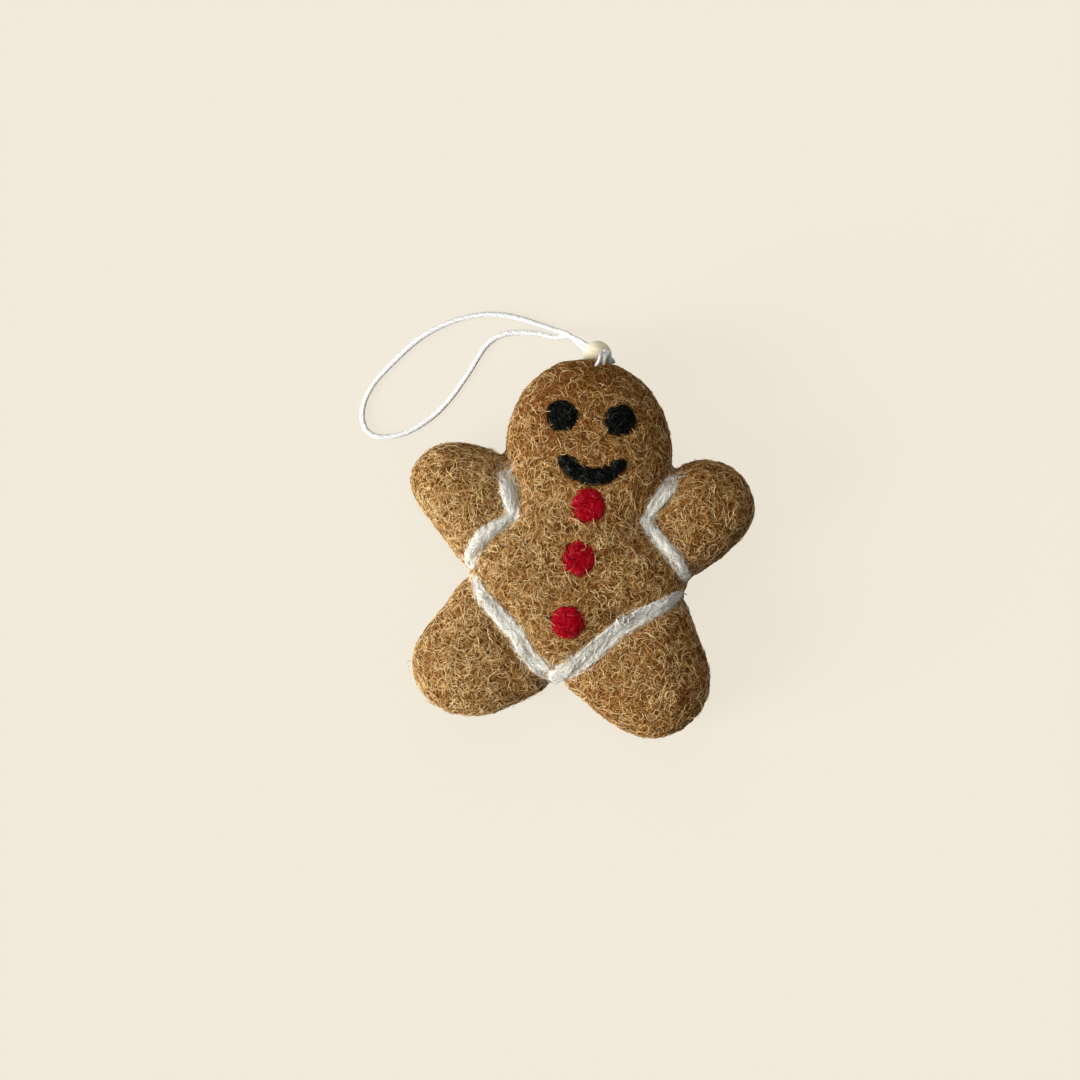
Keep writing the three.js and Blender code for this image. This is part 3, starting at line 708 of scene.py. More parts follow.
def neighbour_mean(values, edges):
    """The mean of each point's neighbours"""
    first, second = edges[:, 0], edges[:, 1]
    count = np.bincount(first, minlength=len(values)) + np.bincount(second, minlength=len(values))
    total = np.stack([
        np.bincount(first, values[second, axis], len(values))
        + np.bincount(second, values[first, axis], len(values))
        for axis in range(values.shape[1])
    ], axis=1)
    return total / np.maximum(count, 1)[:, None]


def relaxed(points, edges, rounds):
    """Smoothed without much shrinking: each round moves in, then nearly as far out"""
    for _ in range(rounds):
        for share in (0.6, -0.58):
            points = points + share * (neighbour_mean(points, edges) - points)
    return points


def vertex_normals(mesh):
    normals = np.empty(len(mesh.vertices) * 3)
    mesh.vertices.foreach_get("normal", normals)
    return normals.reshape(-1, 3)


def set_points(mesh, points):
    mesh.vertices.foreach_set("co", np.asarray(points, np.float32).ravel())
    mesh.update()


def remeshed_skin(name, nodes, swell, cell):
    """One closed skin round some of the solids, each swollen first so that narrow gaps close"""
    merged = bmesh.new()
    for node in nodes:
        single = bmesh.new()
        single.from_mesh(frame["nodes"][node].data)
        bmesh.ops.remove_doubles(single, verts=single.verts, dist=0.001 * MM)
        single.normal_update()
        for vertex in single.verts:
            vertex.co += vertex.normal * swell
        scrap = bpy.data.meshes.new(name)
        single.to_mesh(scrap)
        single.free()
        merged.from_mesh(scrap)
        bpy.data.meshes.remove(scrap)
    mesh = bpy.data.meshes.new(name)
    merged.to_mesh(mesh)
    merged.free()
    piece = bpy.data.objects.new(name, mesh)
    bpy.context.scene.collection.objects.link(piece)
    modifier = piece.modifiers.new("Skin", "REMESH")
    modifier.mode = "VOXEL"
    modifier.voxel_size = cell
    depsgraph = bpy.context.evaluated_depsgraph_get()
    depsgraph.update()
    skin = bpy.data.meshes.new_from_object(piece.evaluated_get(depsgraph))
    piece.modifiers.clear()
    piece.data = skin
    bpy.data.meshes.remove(mesh)
    keep_outer_shell(skin)
    return piece


def keep_outer_shell(mesh):
    """Deletes every closed shell but the one with the most points"""
    shell = bmesh.new()
    shell.from_mesh(mesh)
    shell.verts.ensure_lookup_table()
    lot = np.full(len(shell.verts), -1)
    lots = 0
    for start in shell.verts:
        if lot[start.index] >= 0:
            continue
        waiting = [start]
        lot[start.index] = lots
        while waiting:
            vertex = waiting.pop()
            for edge in vertex.link_edges:
                other = edge.other_vert(vertex)
                if lot[other.index] < 0:
                    lot[other.index] = lots
                    waiting.append(other)
        lots += 1
    largest = np.bincount(lot).argmax()
    stray = [vertex for vertex in shell.verts if lot[vertex.index] != largest]
    bmesh.ops.delete(shell, geom=stray, context="VERTS")
    shell.to_mesh(mesh)
    shell.free()


def tree_of_nodes(nodes):
    """A search tree over the surfaces of some of the solids"""
    corners = []
    faces = []
    for node in nodes:
        mesh = frame["nodes"][node].data
        start = len(corners)
        corners += [vertex.co.copy() for vertex in mesh.vertices]
        faces += [[start + index for index in polygon.vertices] for polygon in mesh.polygons]
    return BVHTree.FromPolygons(corners, faces)


def distances_to(tree, points, reach):
    """How far each point lies from a surface, and the reach where it is further"""
    found = np.full(len(points), reach)
    for index, point in enumerate(points):
        nearest = tree.find_nearest(point, reach)
        if nearest[0] is not None:
            found[index] = nearest[3]
    return found


def lumps(points, size, seed):
    """A smooth random height from -1 to 1 at each point"""
    shift = Vector((seed * 17.3, seed * 5.1, seed * 9.7))
    return np.array([noise.noise(Vector(point) / size + shift) for point in points])


def dress(piece, material, slot, body, *nodes):
    """What every piece needs: its material, the body it rides on and the nodes it stands for; the slot is not
    used
    """
    if material is not None:
        piece.data.materials.clear()
        piece.data.materials.append(material)
    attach(piece, body)
    if nodes:
        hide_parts(*nodes)


# Strands of wool


class Surface:
    """One or more meshes that strands are laid on: their search tree and their faces by area"""

    def __init__(self, meshes):
        corners = []
        triangles = []
        start = 0
        for mesh in meshes:
            mesh.calc_loop_triangles()
            faces = np.empty(len(mesh.loop_triangles) * 3, np.int64)
            mesh.loop_triangles.foreach_get("vertices", faces)
            points, _ = arrays_of(mesh)
            corners.append(points)
            triangles.append(faces.reshape(-1, 3) + start)
            start += len(points)
        self.points = np.concatenate(corners)
        self.triangles = np.concatenate(triangles)
        self.tree = BVHTree.FromPolygons(self.points.tolist(), self.triangles.tolist())
        first, second, third = (self.points[self.triangles[:, corner]] for corner in range(3))
        areas = np.linalg.norm(np.cross(second - first, third - first), axis=1) / 2
        self.total_area = areas.sum()
        self.reached = np.cumsum(areas) / self.total_area

    def random_places(self, random, count):
        chosen = np.minimum(np.searchsorted(self.reached, random.random(count)), len(self.triangles) - 1)
        shares = random.random((count, 2))
        outside = shares.sum(axis=1) > 1
        shares[outside] = 1 - shares[outside]
        corners = self.points[self.triangles[chosen]]
        return (
            corners[:, 0]
            + shares[:, :1] * (corners[:, 1] - corners[:, 0])
            + shares[:, 1:] * (corners[:, 2] - corners[:, 0])
        )

    def pulled_on(self, points):
        """The nearest places on the surface and their normals"""
        places = np.empty_like(points)
        normals = np.empty_like(points)
        for index, point in enumerate(points):
            place, normal, _, _ = self.tree.find_nearest(point)
            places[index] = place
            normals[index] = normal
        return places, normals

    def height_of(self, points):
        """How far each point stands above the surface, and the surface's normal there"""
        places, normals = self.pulled_on(points)
        return np.sum((points - places) * normals, axis=1), normals


def surface_of(*names):
    return Surface([bpy.data.objects[name].data for name in names])


def mark_piece(node):
    return f"{node}_wool"


def turned(vectors, axes, angles):
    """Vectors turned about axes at right angles to them"""
    return (
        np.cos(angles)[:, None] * vectors + np.sin(angles)[:, None] * np.cross(axes, vectors)
    )


def crawl(surface, random, starts, headings, length, steps, bend, wave):
    """Paths that wander over a surface from their starts, and the surface's normals on the way"""
    count = len(starts)
    step = length[:, None] / steps
    steady = random.normal(0, bend, count)
    swing = random.normal(0, wave, count)
    phase = random.random(count) * 2 * math.pi
    pace = random.uniform(0.9, 1.9, count)
    places, normals = surface.pulled_on(starts)
    heading = unit(headings - normals * np.sum(headings * normals, axis=1, keepdims=True))
    paths = [places]
    ups = [normals]
    for index in range(steps):
        angle = (steady + swing * np.sin(phase + pace * index)) * step[:, 0]
        heading = turned(heading, ups[-1], angle)
        places, normals = surface.pulled_on(paths[-1] + heading * step)
        heading = unit(heading - normals * np.sum(heading * normals, axis=1, keepdims=True))
        paths.append(places)
        ups.append(unit(ups[-1] + normals))
    return np.stack(paths, axis=1), np.stack(ups, axis=1)


def laid_strands(
        surface, random, starts, headings, length, radius, lift, bend, wave, steps=8, sink=0.12 * MM):
    """Strands that leave the surface, arch over it and dive back in: paths, up directions and radii"""
    count = len(starts)
    lengths = length * random.uniform(*LENGTH_SPREAD, count)
    paths, ups = crawl(surface, random, starts, headings, lengths, steps, bend, wave)
    share = np.linspace(0, 1, steps + 1)[None, :]
    flatter = 0.4 + 0.6 * np.abs(ups[:, 0, 2])
    lifts = (lift * random.gamma(1.6, 0.6, count) * flatter)[:, None]
    skew = random.uniform(*SKEW_SPREAD, count)[:, None]
    arch = np.sin(math.pi * share ** skew)
    ripple = 0.25 * lift * random.normal(0, 1, (count, steps + 1)) * arch
    paths = paths + ups * (lifts * arch + ripple - sink)[:, :, None]
    thickness = radius * random.uniform(*RADIUS_SPREAD, count)[:, None] * (0.45 + 0.55 * arch ** 0.5)
    return paths, ups, thickness


def any_heading(points, starts, random):
    return random.normal(0, 1, starts.shape)


def round_the_sides(surface, starts, random):
    """In loose swirls on top, and more and more round the figure where its sides fall away"""
    _, ups = surface.pulled_on(starts)
    level = np.cross(ups, (0, 0, 1))
    steepness = np.linalg.norm(level, axis=1, keepdims=True)
    swirl = unit(np.stack([lumps(starts, SWIRL_SIZE, seed) for seed in SWIRL_SEEDS], axis=1))
    either = random.choice([-1, 1], steepness.shape)
    pull = SWIRL_PULL * swirl + SIDE_PULL * steepness * level
    return random.normal(0, 1, starts.shape) + either * pull


def kept_clear(paths):
    """True for strands that stay out of the bead's way along its travel, and off the knot"""
    axis = np.array(BORE_DIRECTION)
    offset = paths - np.array(BEAD_MIDDLE)
    reached = np.clip(offset @ axis, -BEAD_BACK, BEAD_TRAVEL)
    gap = np.linalg.norm(offset - reached[:, :, None] * axis, axis=2).min(axis=1)
    bead_radius = (BEAD_HIGH.z - BEAD_LOW.z) / 2
    knot_gap = np.linalg.norm(paths - np.array(KNOT_MIDDLE), axis=2).min(axis=1)
    return (gap > bead_radius + BEAD_CLEARANCE) & (knot_gap > KNOT_CLEARANCE)


def on_or_above_floor(paths, thickness):
    paths[:, :, 2] = np.maximum(paths[:, :, 2], thickness + STRAND_FLOOR_GAP)
    return paths


def picked(strands, chosen):
    """Some of the strands: their paths, up directions and radii"""
    return tuple(part[chosen] for part in strands)


def gaps_along(tree, paths, reach):
    """How far each point of each path lies from a surface, and the reach where it is further"""
    return distances_to(tree, paths.reshape(-1, 3), reach).reshape(paths.shape[:2])


def strand_pieces(name, strands, material, slot):
    """Strands of one tint, in pieces of a size that can be handed on"""
    paths, ups, thickness = strands
    paths = on_or_above_floor(paths, thickness)
    triangles = 2 * STRAND_SIDES * (paths.shape[1] - 1) + 2
    lot = MOST_FACES // triangles
    for number, first in enumerate(range(0, len(paths), lot)):
        part = slice(first, first + lot)
        points, faces = tubes(paths[part], ups[part], thickness[part], STRAND_SIDES)
        piece = mesh_object(f"{name}_{number + 1}", points, faces, material)
        dress(piece, None, slot, ORNAMENT)


def mark_tints(colours, shares):
    """The label, material and share of each wool over a mark; the first gives the strands their plain name"""
    first = next(iter(shares))
    return {
        "strands" if wool == first else f"{wool}_strands":
            (strand_material(f"{wool}_strand", getattr(colours, wool)), share)
        for wool, share in shares.items()
    }


def mark_strands(piece, skin, whole, random, headings, shape, tints, slot):
    """Strands over a mark that may stray a little over its edge; tints holds each tint's share"""
    own = surface_of(piece.name)
    starts = own.random_places(random, int(own.total_area / MM ** 2 * shape["per_square"]))
    height, up = skin.height_of(starts)
    starts = starts + up * np.maximum(SKIN_GAP - height, 0)[:, None]
    covered = np.array([
        own.tree.ray_cast(Vector(start + SKIN_GAP * way), Vector(way), MARK_THICKNESS)[0] is not None
        for start, way in zip(starts, up)
    ])
    aside = random.normal(0, shape["scatter"], starts.shape)
    starts = (starts + aside - up * np.sum(aside * up, axis=1, keepdims=True))[~covered]
    strands = laid_strands(
        whole, random, starts, headings(own.points, starts, random), shape["length"], shape["radius"],
        shape["lift"], shape["bend"], shape["wave"], sink=MARK_STRAND_SINK)
    furthest = gaps_along(own.tree, strands[0], shape["stray"]).max(axis=1)
    stays = (furthest < shape["stray"]) | (random.random(len(furthest)) < STRAY_SHARE)
    strands = picked(strands, kept_clear(strands[0]) & stays)
    drawn = random.random(len(strands[0]))
    reached = 0
    for label, (material, share) in tints.items():
        chosen = (drawn >= reached) & (drawn < reached + share)
        reached += share
        strand_pieces(f"{piece.name}_{label}", picked(strands, chosen), material, slot)


# Operators


class ORNAMENT_OT_stage(bpy.types.Operator):
    """Sets the camera straight above the figure, the pale floor and the soft light"""

    bl_idname = "ornament.stage"
    bl_label = "Camera, Floor and Light"

    def execute(self, context):
        scene = context.scene
        scene.view_settings.view_transform = "Standard"
        self.add_camera(scene)
        self.add_light(scene)
        self.add_floor()
        return {"FINISHED"}

    def add_camera(self, scene):
        data = bpy.data.cameras.new("camera")
        data.lens = LENS
        data.sensor_width = SENSOR
        data.clip_start = 0.01
        data.clip_end = 20
        camera = bpy.data.objects.new("camera", data)
        camera.location = (*VIEW_PLACE, VIEW_LEVEL + VIEW_WIDTH * LENS / SENSOR)
        camera.rotation_euler = (0, 0, VIEW_TURN)
        scene.collection.objects.link(camera)
        scene.camera = camera

    def add_light(self, scene):
        for name, (heading, height, power, softness) in LIGHTS.items():
            data = bpy.data.lights.new(name, "SUN")
            data.energy = power
            data.angle = math.radians(softness)
            light = bpy.data.objects.new(name, data)
            turn = math.radians(heading) + VIEW_TURN
            rise = math.radians(height)
            towards = Vector(
                (math.cos(turn) * math.cos(rise), math.sin(turn) * math.cos(rise), math.sin(rise)))
            light.rotation_euler = towards.to_track_quat("Z", "Y").to_euler()
            scene.collection.objects.link(light)
        world = bpy.data.worlds.new("studio")
        world.use_nodes = True
        background = world.node_tree.nodes["Background"]
        set_inputs(background, {"Color": WORLD_COLOUR, "Strength": WORLD_STRENGTH})
        scene.world = world

    def add_floor(self):
        material, _, shader = new_material("pale_floor", roughness=1.0, shine=0)
        set_inputs(shader, {
            "Base Color": (*paint(84, 81, 75), 1), "Emission Color": (*paint(242, 234, 218), 1),
            "Emission Strength": FLOOR_GLOW,
        })
        half = FLOOR_HALF_WIDTH
        corners = [(-half, -half, 0), (half, -half, 0), (half, half, 0), (-half, half, 0)]
        floor = mesh_object("floor", np.array(corners), [np.array([[0, 1, 2, 3]])], material)
        floor.visible_diffuse = False


class ORNAMENT_OT_cord(bpy.types.Operator):
    """Twists the cotton cord: the hanging loop, its knot and the stitch through the crown"""

    bl_idname = "ornament.cord"
    bl_label = "Cotton Cord"

    def execute(self, context):
        sizes = context.scene.ornament_cord
        cotton = cotton_material("spun_cotton", sizes.colour)
        loop = self.loop_route()
        cord = cord_piece(
            "cotton_cord", "hanging_cord", ply_cord(loop, sizes.diameter, sizes.lay, sizes.slack), cotton)
        stitch = self.stitch(sizes, cotton)
        knot = self.knot(sizes, cotton)
        return {"FINISHED"}

    def loop_route(self):
        outward = [strand_place(-1, reach) for reach in STRAND_REACHES]
        inward = [strand_place(1, reach) for reach in reversed(STRAND_REACHES)]
        loop = [(x * MM, y * MM, CORD_RISE) for x, y in LOOP_PLACES]
        return smooth_route([*outward, *loop, *inward], steps_each=12)

    def stitch(self, sizes, cotton):
        places = [KNOT_MIDDLE + Vector(place) * MM for place in STITCH_PLACES]
        made = ply_cord(smooth_route(places, steps_each=8), sizes.stitch, sizes.lay)
        return cord_piece("crown_stitch", "cord_stitch", made, cotton)

    def knot(self, sizes, cotton):
        """An overhand knot, and the two short strands that come out of the bead to it"""
        cord = sizes.stitch
        reach = (sizes.knot_width / 2 - cord / 2) / 3
        turn = Vector((0, 0, 1)).rotation_difference(KNOT_DIRECTION)
        crossings = []
        for angle in np.linspace(0, 2 * math.pi * KNOT_OVERLAP, KNOT_POINTS):
            ring = (2 + math.cos(3 * angle)) * reach
            place = Vector(
                (ring * math.cos(2 * angle), ring * math.sin(2 * angle), math.sin(3 * angle) * reach))
            crossings.append(KNOT_MIDDLE + turn @ place)
        parts = [ply_cord(np.array(crossings), cord, sizes.lay)]
        for side in (-1, 1):
            start = strand_place(side, STRAND_REACHES[0] - 0.3 * MM)
            after = strand_place(side, STRAND_REACHES[0] - 0.9 * MM)
            lift = BEAD_MIDDLE.lerp(after, 1.05) + KNOT_DIRECTION * sizes.diameter
            route = smooth_route([start, after, lift, KNOT_MIDDLE], steps_each=8)
            parts.append(ply_cord(route, cord, sizes.lay))
        return cord_piece("cord_overhand_knot", "cord_knot", joined_parts(parts), cotton)


def cord_piece(name, node, made, cotton):
    """A piece of the cord from its points and faces, in place of one node"""
    points, faces = made
    piece = mesh_object(name, points, faces, cotton)
    dress(piece, None, "cord_cotton", ORNAMENT, node)
    return piece


def strand_place(side, reach):
    """A place on one of the cord's two strands: side by side in the bead, stacked past its travel"""
    across = Vector((-BORE_DIRECTION.y, BORE_DIRECTION.x, 0)).normalized()
    first, last = STRAND_REACHES[2], STRAND_REACHES[4]
    share = min(max((reach - first) / (last - first), 0), 1)
    twist = share * share * (3 - 2 * share) * math.pi / 2
    outwards = Quaternion(BORE_DIRECTION, -twist) @ across
    return BEAD_MIDDLE + BORE_DIRECTION * reach + outwards * (side * STRAND_SPACING / 2)


class ORNAMENT_OT_felt_body(bpy.types.Operator):
    """Felts the head, torso, arms and legs into one soft lumpy body"""

    bl_idname = "ornament.felt_body"
    bl_label = "Felted Body"

    def execute(self, context):
        sizes = context.scene.ornament_felt
        colours = context.scene.ornament_wool
        body = remeshed_skin("felt_body", (*LOBES, *MARKS, *ICING), sizes.swell, sizes.cell)
        mesh = body.data
        points, edges = arrays_of(mesh)
        points = relaxed(points, edges, rounds=16)
        set_points(mesh, points)
        points = points - vertex_normals(mesh) * (sizes.swell + sizes.inset)
        self.press_grooves(mesh, points, sizes)
        points, _ = arrays_of(mesh)
        normals = vertex_normals(mesh)
        height = sum(share * lumps(points, size, seed) for share, size, seed in FELT_LUMPS)
        points = points + normals * (sizes.lump * height)[:, None]
        points[:, 2] = np.maximum(points[:, 2], FLOOR_GAP)
        set_points(mesh, points)
        shade_smooth(mesh)
        wool = matted_material(
            "matted_brown_wool", colours.felt, colours.brown, colours.pit_shade, colours.umber, 950.0)
        dress(body, wool, "brown_felt", ORNAMENT, *LOBES)
        return {"FINISHED"}

    def press_grooves(self, mesh, points, sizes):
        """The icing pulls the felt in beside it, and each patch sinks it a little at its rim"""
        normals = vertex_normals(mesh)
        for nodes, depth, reach in (
            (ICING, sizes.groove, sizes.shoulder),
            (MARKS, PATCH_GROOVE * sizes.groove, PATCH_SHOULDER * sizes.shoulder),
        ):
            gap = distances_to(tree_of_nodes(nodes), points, reach)
            pull = (1 + np.cos(np.clip(gap / reach, 0, 1) * math.pi)) / 2
            points -= normals * (depth * pull)[:, None]
        _, edges = arrays_of(mesh)
        set_points(mesh, relaxed(points, edges, rounds=3))


class ORNAMENT_OT_marks(bpy.types.Operator):
    """Needles the eyes, the mouth and the buttons into the body"""

    bl_idname = "ornament.marks"
    bl_label = "Eyes, Mouth and Buttons"

    def execute(self, context):
        colours = context.scene.ornament_wool
        black = matted_material(
            "matted_black_wool", colours.black, colours.slate, colours.pitch, colours.black, 1300.0)
        red = matted_material(
            "matted_red_wool", colours.red, colours.rose, colours.wine, colours.red, 1300.0)
        skin = surface_of("felt_body")
        for number, node in enumerate(MARKS):
            material, slot = (black, "black_felt") if node in BLACK_MARKS else (red, "red_felt")
            patch = soft_patch(node, skin, PATCH_FORM, number)
            dress(patch, material, slot, ORNAMENT, node)
        whole = surface_of("felt_body", *(mark_piece(node) for node in MARKS))
        black_tints = mark_tints(colours, BLACK_SHARES)
        red_tints = mark_tints(colours, RED_SHARES)
        for number, node in enumerate(MARKS):
            tints, slot = (black_tints, "black_felt") if node in BLACK_MARKS else (red_tints, "red_felt")
            mark_strands(
                bpy.data.objects[mark_piece(node)], skin, whole, np.random.default_rng(100 + number),
                any_heading, PATCH_STRANDS, tints, slot)
        return {"FINISHED"}


def soft_patch(node, skin, form, seed):
    """A mark with a ragged outline and a domed top that is settled into the felt"""
    patch = remeshed_skin(mark_piece(node), [node], form["swell"], form["cell"])
    mesh = patch.data
    points, edges = arrays_of(mesh)
    points = relaxed(points, edges, rounds=6)
    set_points(mesh, points)
    normals = vertex_normals(mesh)
    height, up = skin.height_of(points)
    rim = points[(height > 0) & (height < RIM_HEIGHT * height.max())]
    tree = KDTree(len(rim))
    for index, place in enumerate(rim):
        tree.insert(place, index)
    tree.balance()
    gap = np.array([tree.find(point)[2] for point in points])
    near = np.clip(1 - gap / form["reach"], 0, 1)
    near = near * near * (3 - 2 * near)
    ragged = lumps(points, RAGGED_SIZE, seed + 4) * near * form["ragged"]
    uneven = lumps(points, UNEVEN_SIZE, seed + 8) * form["uneven"]
    points = points + normals * (ragged + uneven)[:, None]
    depth = form["settle"] + form["drop"] * near
    if "sink" in form:
        depth = depth + form["sink"] * towards_ends(points, form["fade"])
    points = points - up * depth[:, None]
    points[:, 2] = np.maximum(points[:, 2], FLOOR_GAP)
    set_points(mesh, points)
    shade_smooth(mesh)
    return patch


def towards_ends(points, reach):
    """How near each point lies to an end of a long piece, from 0 to 1; ends at the crotch don't count"""
    first = points[np.linalg.norm(points - points.mean(axis=0), axis=1).argmax()]
    last = points[np.linalg.norm(points - first, axis=1).argmax()]
    near = np.zeros(len(points))
    for end in (first, last):
        if abs(end[0]) > LOOSE_END_REACH:
            near = np.maximum(near, 1 - np.linalg.norm(points - end, axis=1) / reach)
    return near


class ORNAMENT_OT_icing(bpy.types.Operator):
    """Lays the white wool icing along the seams of arms and legs"""

    bl_idname = "ornament.icing"
    bl_label = "Wool Icing"

    def execute(self, context):
        colours = context.scene.ornament_wool
        wool = icing_material("combed_white_wool", colours.cream, colours.ash)
        skin = surface_of("felt_body")
        for number, node in enumerate(ICING):
            line = soft_patch(node, skin, ICING_FORM, number + 20)
            dress(line, wool, "white_wool", ORNAMENT, node)
        whole = surface_of("felt_body", *(mark_piece(node) for node in ICING))
        tints = mark_tints(colours, ICING_SHARES)
        for number, node in enumerate(ICING):
            mark_strands(
                bpy.data.objects[mark_piece(node)], skin, whole, np.random.default_rng(200 + number),
                along_line, ICING_STRANDS, tints, "white_wool")
        return {"FINISHED"}


def along_line(points, starts, random):
    """The way that a line of icing runs near each start, more or less, and any way for a few"""
    headings = np.empty_like(starts)
    flat = points[:, :2]
    for index, start in enumerate(starts):
        near = flat[np.sum((flat - start[:2]) ** 2, axis=1) < LINE_SIGHT ** 2]
        spread = near - near.mean(axis=0)
        _, directions = np.linalg.eigh(spread.T @ spread)
        headings[index] = (*directions[:, 1], 0)
    headings = headings * random.choice([-1, 1], (len(starts), 1))
    loose = random.random((len(starts), 1)) < LOOSE_SHARE
    return headings + random.normal(0, 1, headings.shape) * np.where(loose, LOOSE_TURN, COMBED_TURN)


class ORNAMENT_OT_wool_strands(bpy.types.Operator):
    """Covers the body with a mat of dark strands, paler curls and a few loose hairs"""

    bl_idname = "ornament.wool_strands"
    bl_label = "Curly Wool Strands"

    def execute(self, context):
        sizes = context.scene.ornament_felt
        colours = context.scene.ornament_wool
        random = np.random.default_rng(7)
        patches = [mark_piece(node) for node in MARKS]
        lines = [mark_piece(node) for node in ICING]
        skin = surface_of("felt_body")
        whole = surface_of("felt_body", *patches, *lines)
        marks = ((surface_of(*patches).tree, PATCH_COVER), (surface_of(*lines).tree, ICING_COVER))
        materials = {tint: strand_material(f"{tint}_strand", getattr(colours, tint)) for tint in TINTS}
        for layer, count, near, length, lift, bend, shares in (
            ("mat", sizes.mat_count, False, sizes.mat_length, sizes.mat_lift, MAT_BEND, MAT_SHARES),
            ("curls", sizes.curl_count, False, sizes.curl_length, sizes.curl_lift, CURL_BEND, CURL_SHARES),
            ("rims", sizes.rim_count, True, sizes.rim_length, sizes.mat_lift, RIM_BEND, CURL_SHARES),
        ):
            starts = skin.random_places(random, count)
            if near:
                starts = starts[self.gap_to(marks, starts) < RIM_REACH]
            starts = starts[(starts[:, 2] > BACK_LEVEL) | (random.random(len(starts)) < BACK_SHARE)]
            strands = laid_strands(
                whole, random, starts, round_the_sides(skin, starts, random), length,
                sizes.strand_radius, lift, bend, 2 * bend)
            kept = kept_clear(strands[0]) & self.off_marks(marks, strands[0], OVER_MARK)
            self.by_tint(layer, picked(strands, kept), materials, shares, random)
        self.loose_hairs(whole, skin, marks, sizes.hair_count, colours.straw, random)
        return {"FINISHED"}

    def gap_to(self, marks, points):
        """How far each point lies from the nearest mark"""
        return np.min([distances_to(tree, points, RIM_REACH) for tree, _ in marks], axis=0)

    def off_marks(self, marks, paths, reach):
        """False for strands that would cover too much of a mark"""
        return np.all([
            (gaps_along(tree, paths, reach) < reach).mean(axis=1) < share for tree, share in marks
        ], axis=0)

    def by_tint(self, layer, strands, materials, shares, random):
        """Each strand gets one of the wools: more russet on the head's left, in soft patches elsewhere, paler
        towards the left where it is partly painted light, and darker towards the top of the head as painted
        shade
        """
        paths = strands[0]
        middles = paths[:, paths.shape[1] // 2]
        weights = np.tile(shares, (len(paths), 1))
        head_middle = (HEAD_LOW + HEAD_HIGH) / 2
        reddish = np.exp(-(
            ((middles[:, 0] - head_middle.x + REDDISH_LEFT) / REDDISH_WIDTH) ** 2
            + ((middles[:, 1] - head_middle.y - REDDISH_UP) / REDDISH_LENGTH) ** 2))
        mottle = lumps(middles, MOTTLE_SIZE, 5)
        # Painted light: the wool turns paler towards the lit left side, partly the wool's own tone and partly
        # painted light
        painted_light_left = np.clip(-middles[:, 0] / PAINTED_LIGHT_REACH, 0, 1) * (1 - reddish)
        # Painted shade: the wool turns darker towards the top of the head
        painted_shade_top = np.clip((middles[:, 1] - HEAD_LOW.y) / (HEAD_HIGH.y - HEAD_LOW.y), 0, 1)
        russet, golden, straw, brown, umber = (
            TINTS.index(tint) for tint in ("russet", "golden", "straw", "brown", "umber"))
        reds, golds = np.clip(mottle, 0, 1), np.clip(-mottle, 0, 1)
        weights[:, russet] += SHIFTS["reddish russet"] * reddish + SHIFTS["mottled russet"] * reds
        weights[:, golden] += SHIFTS["mottled golden"] * golds + SHIFTS["painted light golden"] * painted_light_left
        weights[:, golden] *= 1 - SHIFTS["reddish golden"] * reddish
        weights[:, straw] += SHIFTS["painted light straw"] * painted_light_left
        weights[:, straw] *= 1 - SHIFTS["painted shade straw"] * painted_shade_top
        weights[:, brown] += SHIFTS["painted shade brown"] * painted_shade_top
        weights[:, umber] *= 1 + SHIFTS["painted shade umber"] * painted_shade_top - SHIFTS["painted light umber"] * painted_light_left
        reached = np.cumsum(weights / weights.sum(axis=1, keepdims=True), axis=1)
        drawn = (random.random(len(paths))[:, None] > reached[:, :-1]).sum(axis=1)
        for number, tint in enumerate(TINTS):
            strand_pieces(
                f"{layer}_{tint}", picked(strands, drawn == number), materials[tint], "brown_felt")

    def loose_hairs(self, whole, skin, marks, count, colour, random):
        """Long thin curls that stand off the felt"""
        starts = skin.random_places(random, count)
        starts = starts[starts[:, 2] > HAIR_LOWEST]
        headings = random.normal(0, 1, starts.shape)
        strands = laid_strands(whole, random, starts, headings, **HAIR_SHAPE)
        kept = kept_clear(strands[0]) & self.off_marks(marks, strands[0], HAIR_CLEARANCE)
        strand_pieces("loose_hairs", picked(strands, kept), strand_material("loose_hair", colour), "brown_felt")


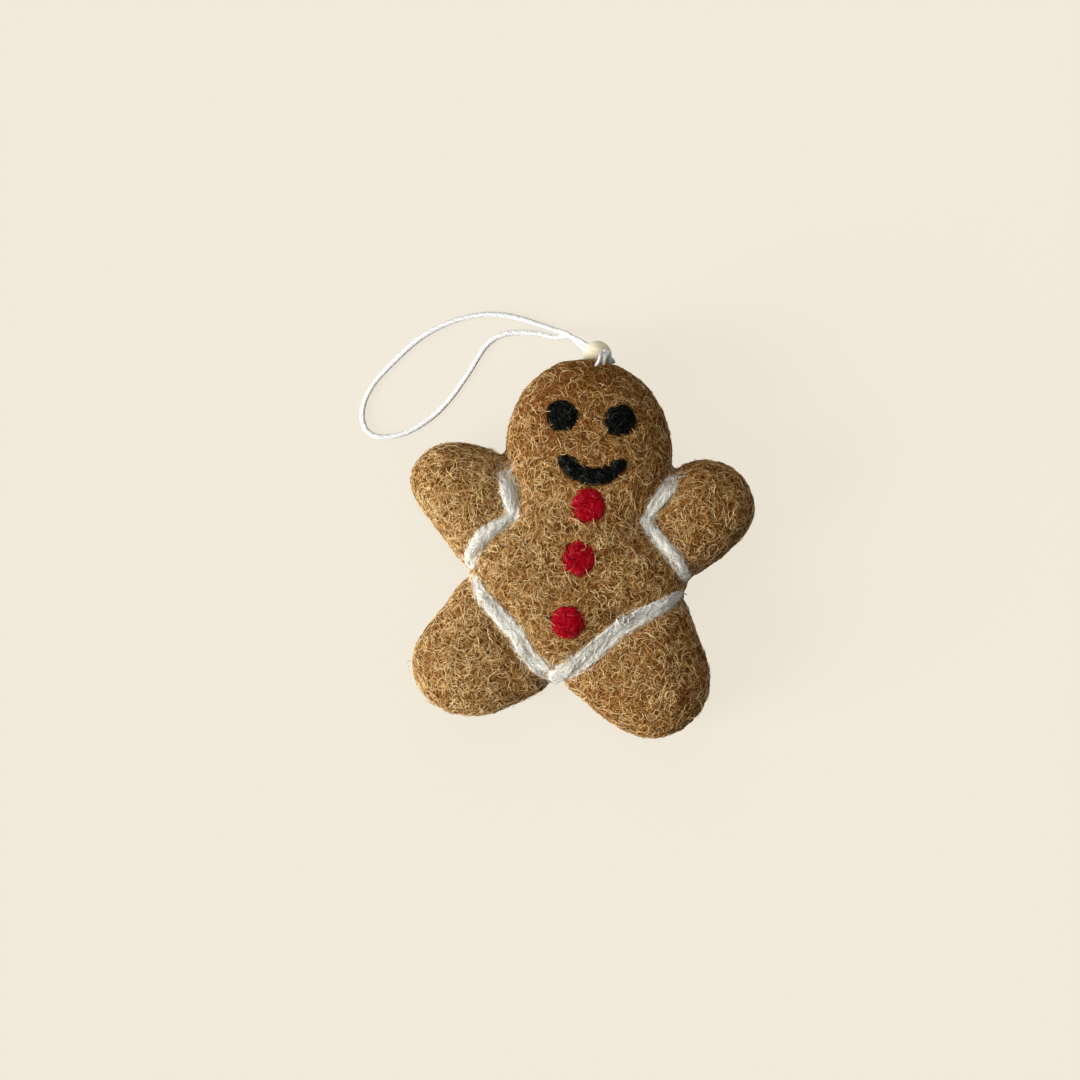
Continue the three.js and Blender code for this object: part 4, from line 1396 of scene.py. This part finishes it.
class ORNAMENT_OT_bead(bpy.types.Operator):
    """Turns the wooden bead that slides on the doubled cord"""

    bl_idname = "ornament.bead"
    bl_label = "Wooden Bead"

    def execute(self, context):
        sizes = context.scene.ornament_bead
        profile = self.profile(sizes)
        sides = BEAD_SIDES
        turn = Vector((0, 0, 1)).rotation_difference(BORE_DIRECTION)
        points = []
        for radius, along in profile:
            for side in range(sides):
                angle = side / sides * 2 * math.pi
                local = Vector((radius * math.cos(angle), radius * math.sin(angle), along))
                points.append(BEAD_MIDDLE + turn @ local)
        rings = len(profile)
        faces = [
            [ring * sides + side, ring * sides + (side + 1) % sides,
             (ring + 1) % rings * sides + (side + 1) % sides, (ring + 1) % rings * sides + side]
            for ring in range(rings) for side in range(sides)
        ]
        wood = wood_material("turned_wood", sizes.pale, sizes.grain)
        bead = mesh_object("turned_bead", np.array(points), [np.array(faces)], wood)
        dress(bead, None, "bead_wood", BEAD, "wooden_bead")
        return {"FINISHED"}

    def profile(self, sizes):
        """Radius and height round the bead's section: the ball, its rounded mouths and its bore"""
        ball = sizes.diameter / 2
        bore = sizes.bore / 2
        edge = sizes.mouth_round
        mouth = math.asin((bore + edge) / (ball - edge * 0.5))
        outside = [
            (ball * math.sin(angle), -ball * math.cos(angle))
            for angle in np.linspace(mouth, math.pi - mouth, 33)
        ]
        top = ball * math.cos(mouth)
        rim = [
            (bore + edge - edge * math.sin(angle), top - edge + edge * math.cos(angle))
            for angle in np.linspace(math.pi / 8, math.pi / 2, 4)
        ]
        wall = [(bore, height) for height in np.linspace(top - 2 * edge, -top + 2 * edge, 5)]
        lower = [(radius, -height) for radius, height in reversed(rim)]
        return [*outside, *rim, *wall, *lower]


# The panel


class ORNAMENT_PT_panel(bpy.types.Panel):
    """Lists the ornament's pieces, their sizes and their colours"""

    bl_label = "Felted Ornament"
    bl_idname = "ORNAMENT_PT_panel"
    bl_space_type = "VIEW_3D"
    bl_region_type = "UI"
    bl_category = "Ornament"

    def draw(self, context):
        for operator in OPERATORS:
            self.layout.operator(operator.bl_idname)
        for attribute in SETTINGS:
            settings = getattr(context.scene, attribute)
            box = self.layout.box()
            for name in settings.__annotations__:
                box.prop(settings, name)


SETTINGS = {
    "ornament_wool": WoolColours,
    "ornament_felt": FeltSizes,
    "ornament_cord": CordSizes,
    "ornament_bead": BeadSizes,
}
OPERATORS = (
    ORNAMENT_OT_stage, ORNAMENT_OT_cord, ORNAMENT_OT_felt_body, ORNAMENT_OT_marks, ORNAMENT_OT_icing,
    ORNAMENT_OT_wool_strands, ORNAMENT_OT_bead,
)


def register():
    for group in SETTINGS.values():
        bpy.utils.register_class(group)
    for attribute, group in SETTINGS.items():
        setattr(bpy.types.Scene, attribute, bpy.props.PointerProperty(type=group))
    for operator in OPERATORS:
        bpy.utils.register_class(operator)
    bpy.utils.register_class(ORNAMENT_PT_panel)


def unregister():
    bpy.utils.unregister_class(ORNAMENT_PT_panel)
    for operator in reversed(OPERATORS):
        bpy.utils.unregister_class(operator)
    for attribute, group in SETTINGS.items():
        delattr(bpy.types.Scene, attribute)
        bpy.utils.unregister_class(group)


def main():
    """Builds every piece in order"""
    register()
    matted_wool_group()
    sleek_fibre_group()
    bpy.ops.ornament.stage()
    bpy.ops.ornament.cord()
    bpy.ops.ornament.felt_body()
    bpy.ops.ornament.marks()
    bpy.ops.ornament.icing()
    bpy.ops.ornament.wool_strands()
    bpy.ops.ornament.bead()


if __name__ == "__main__":
    main()
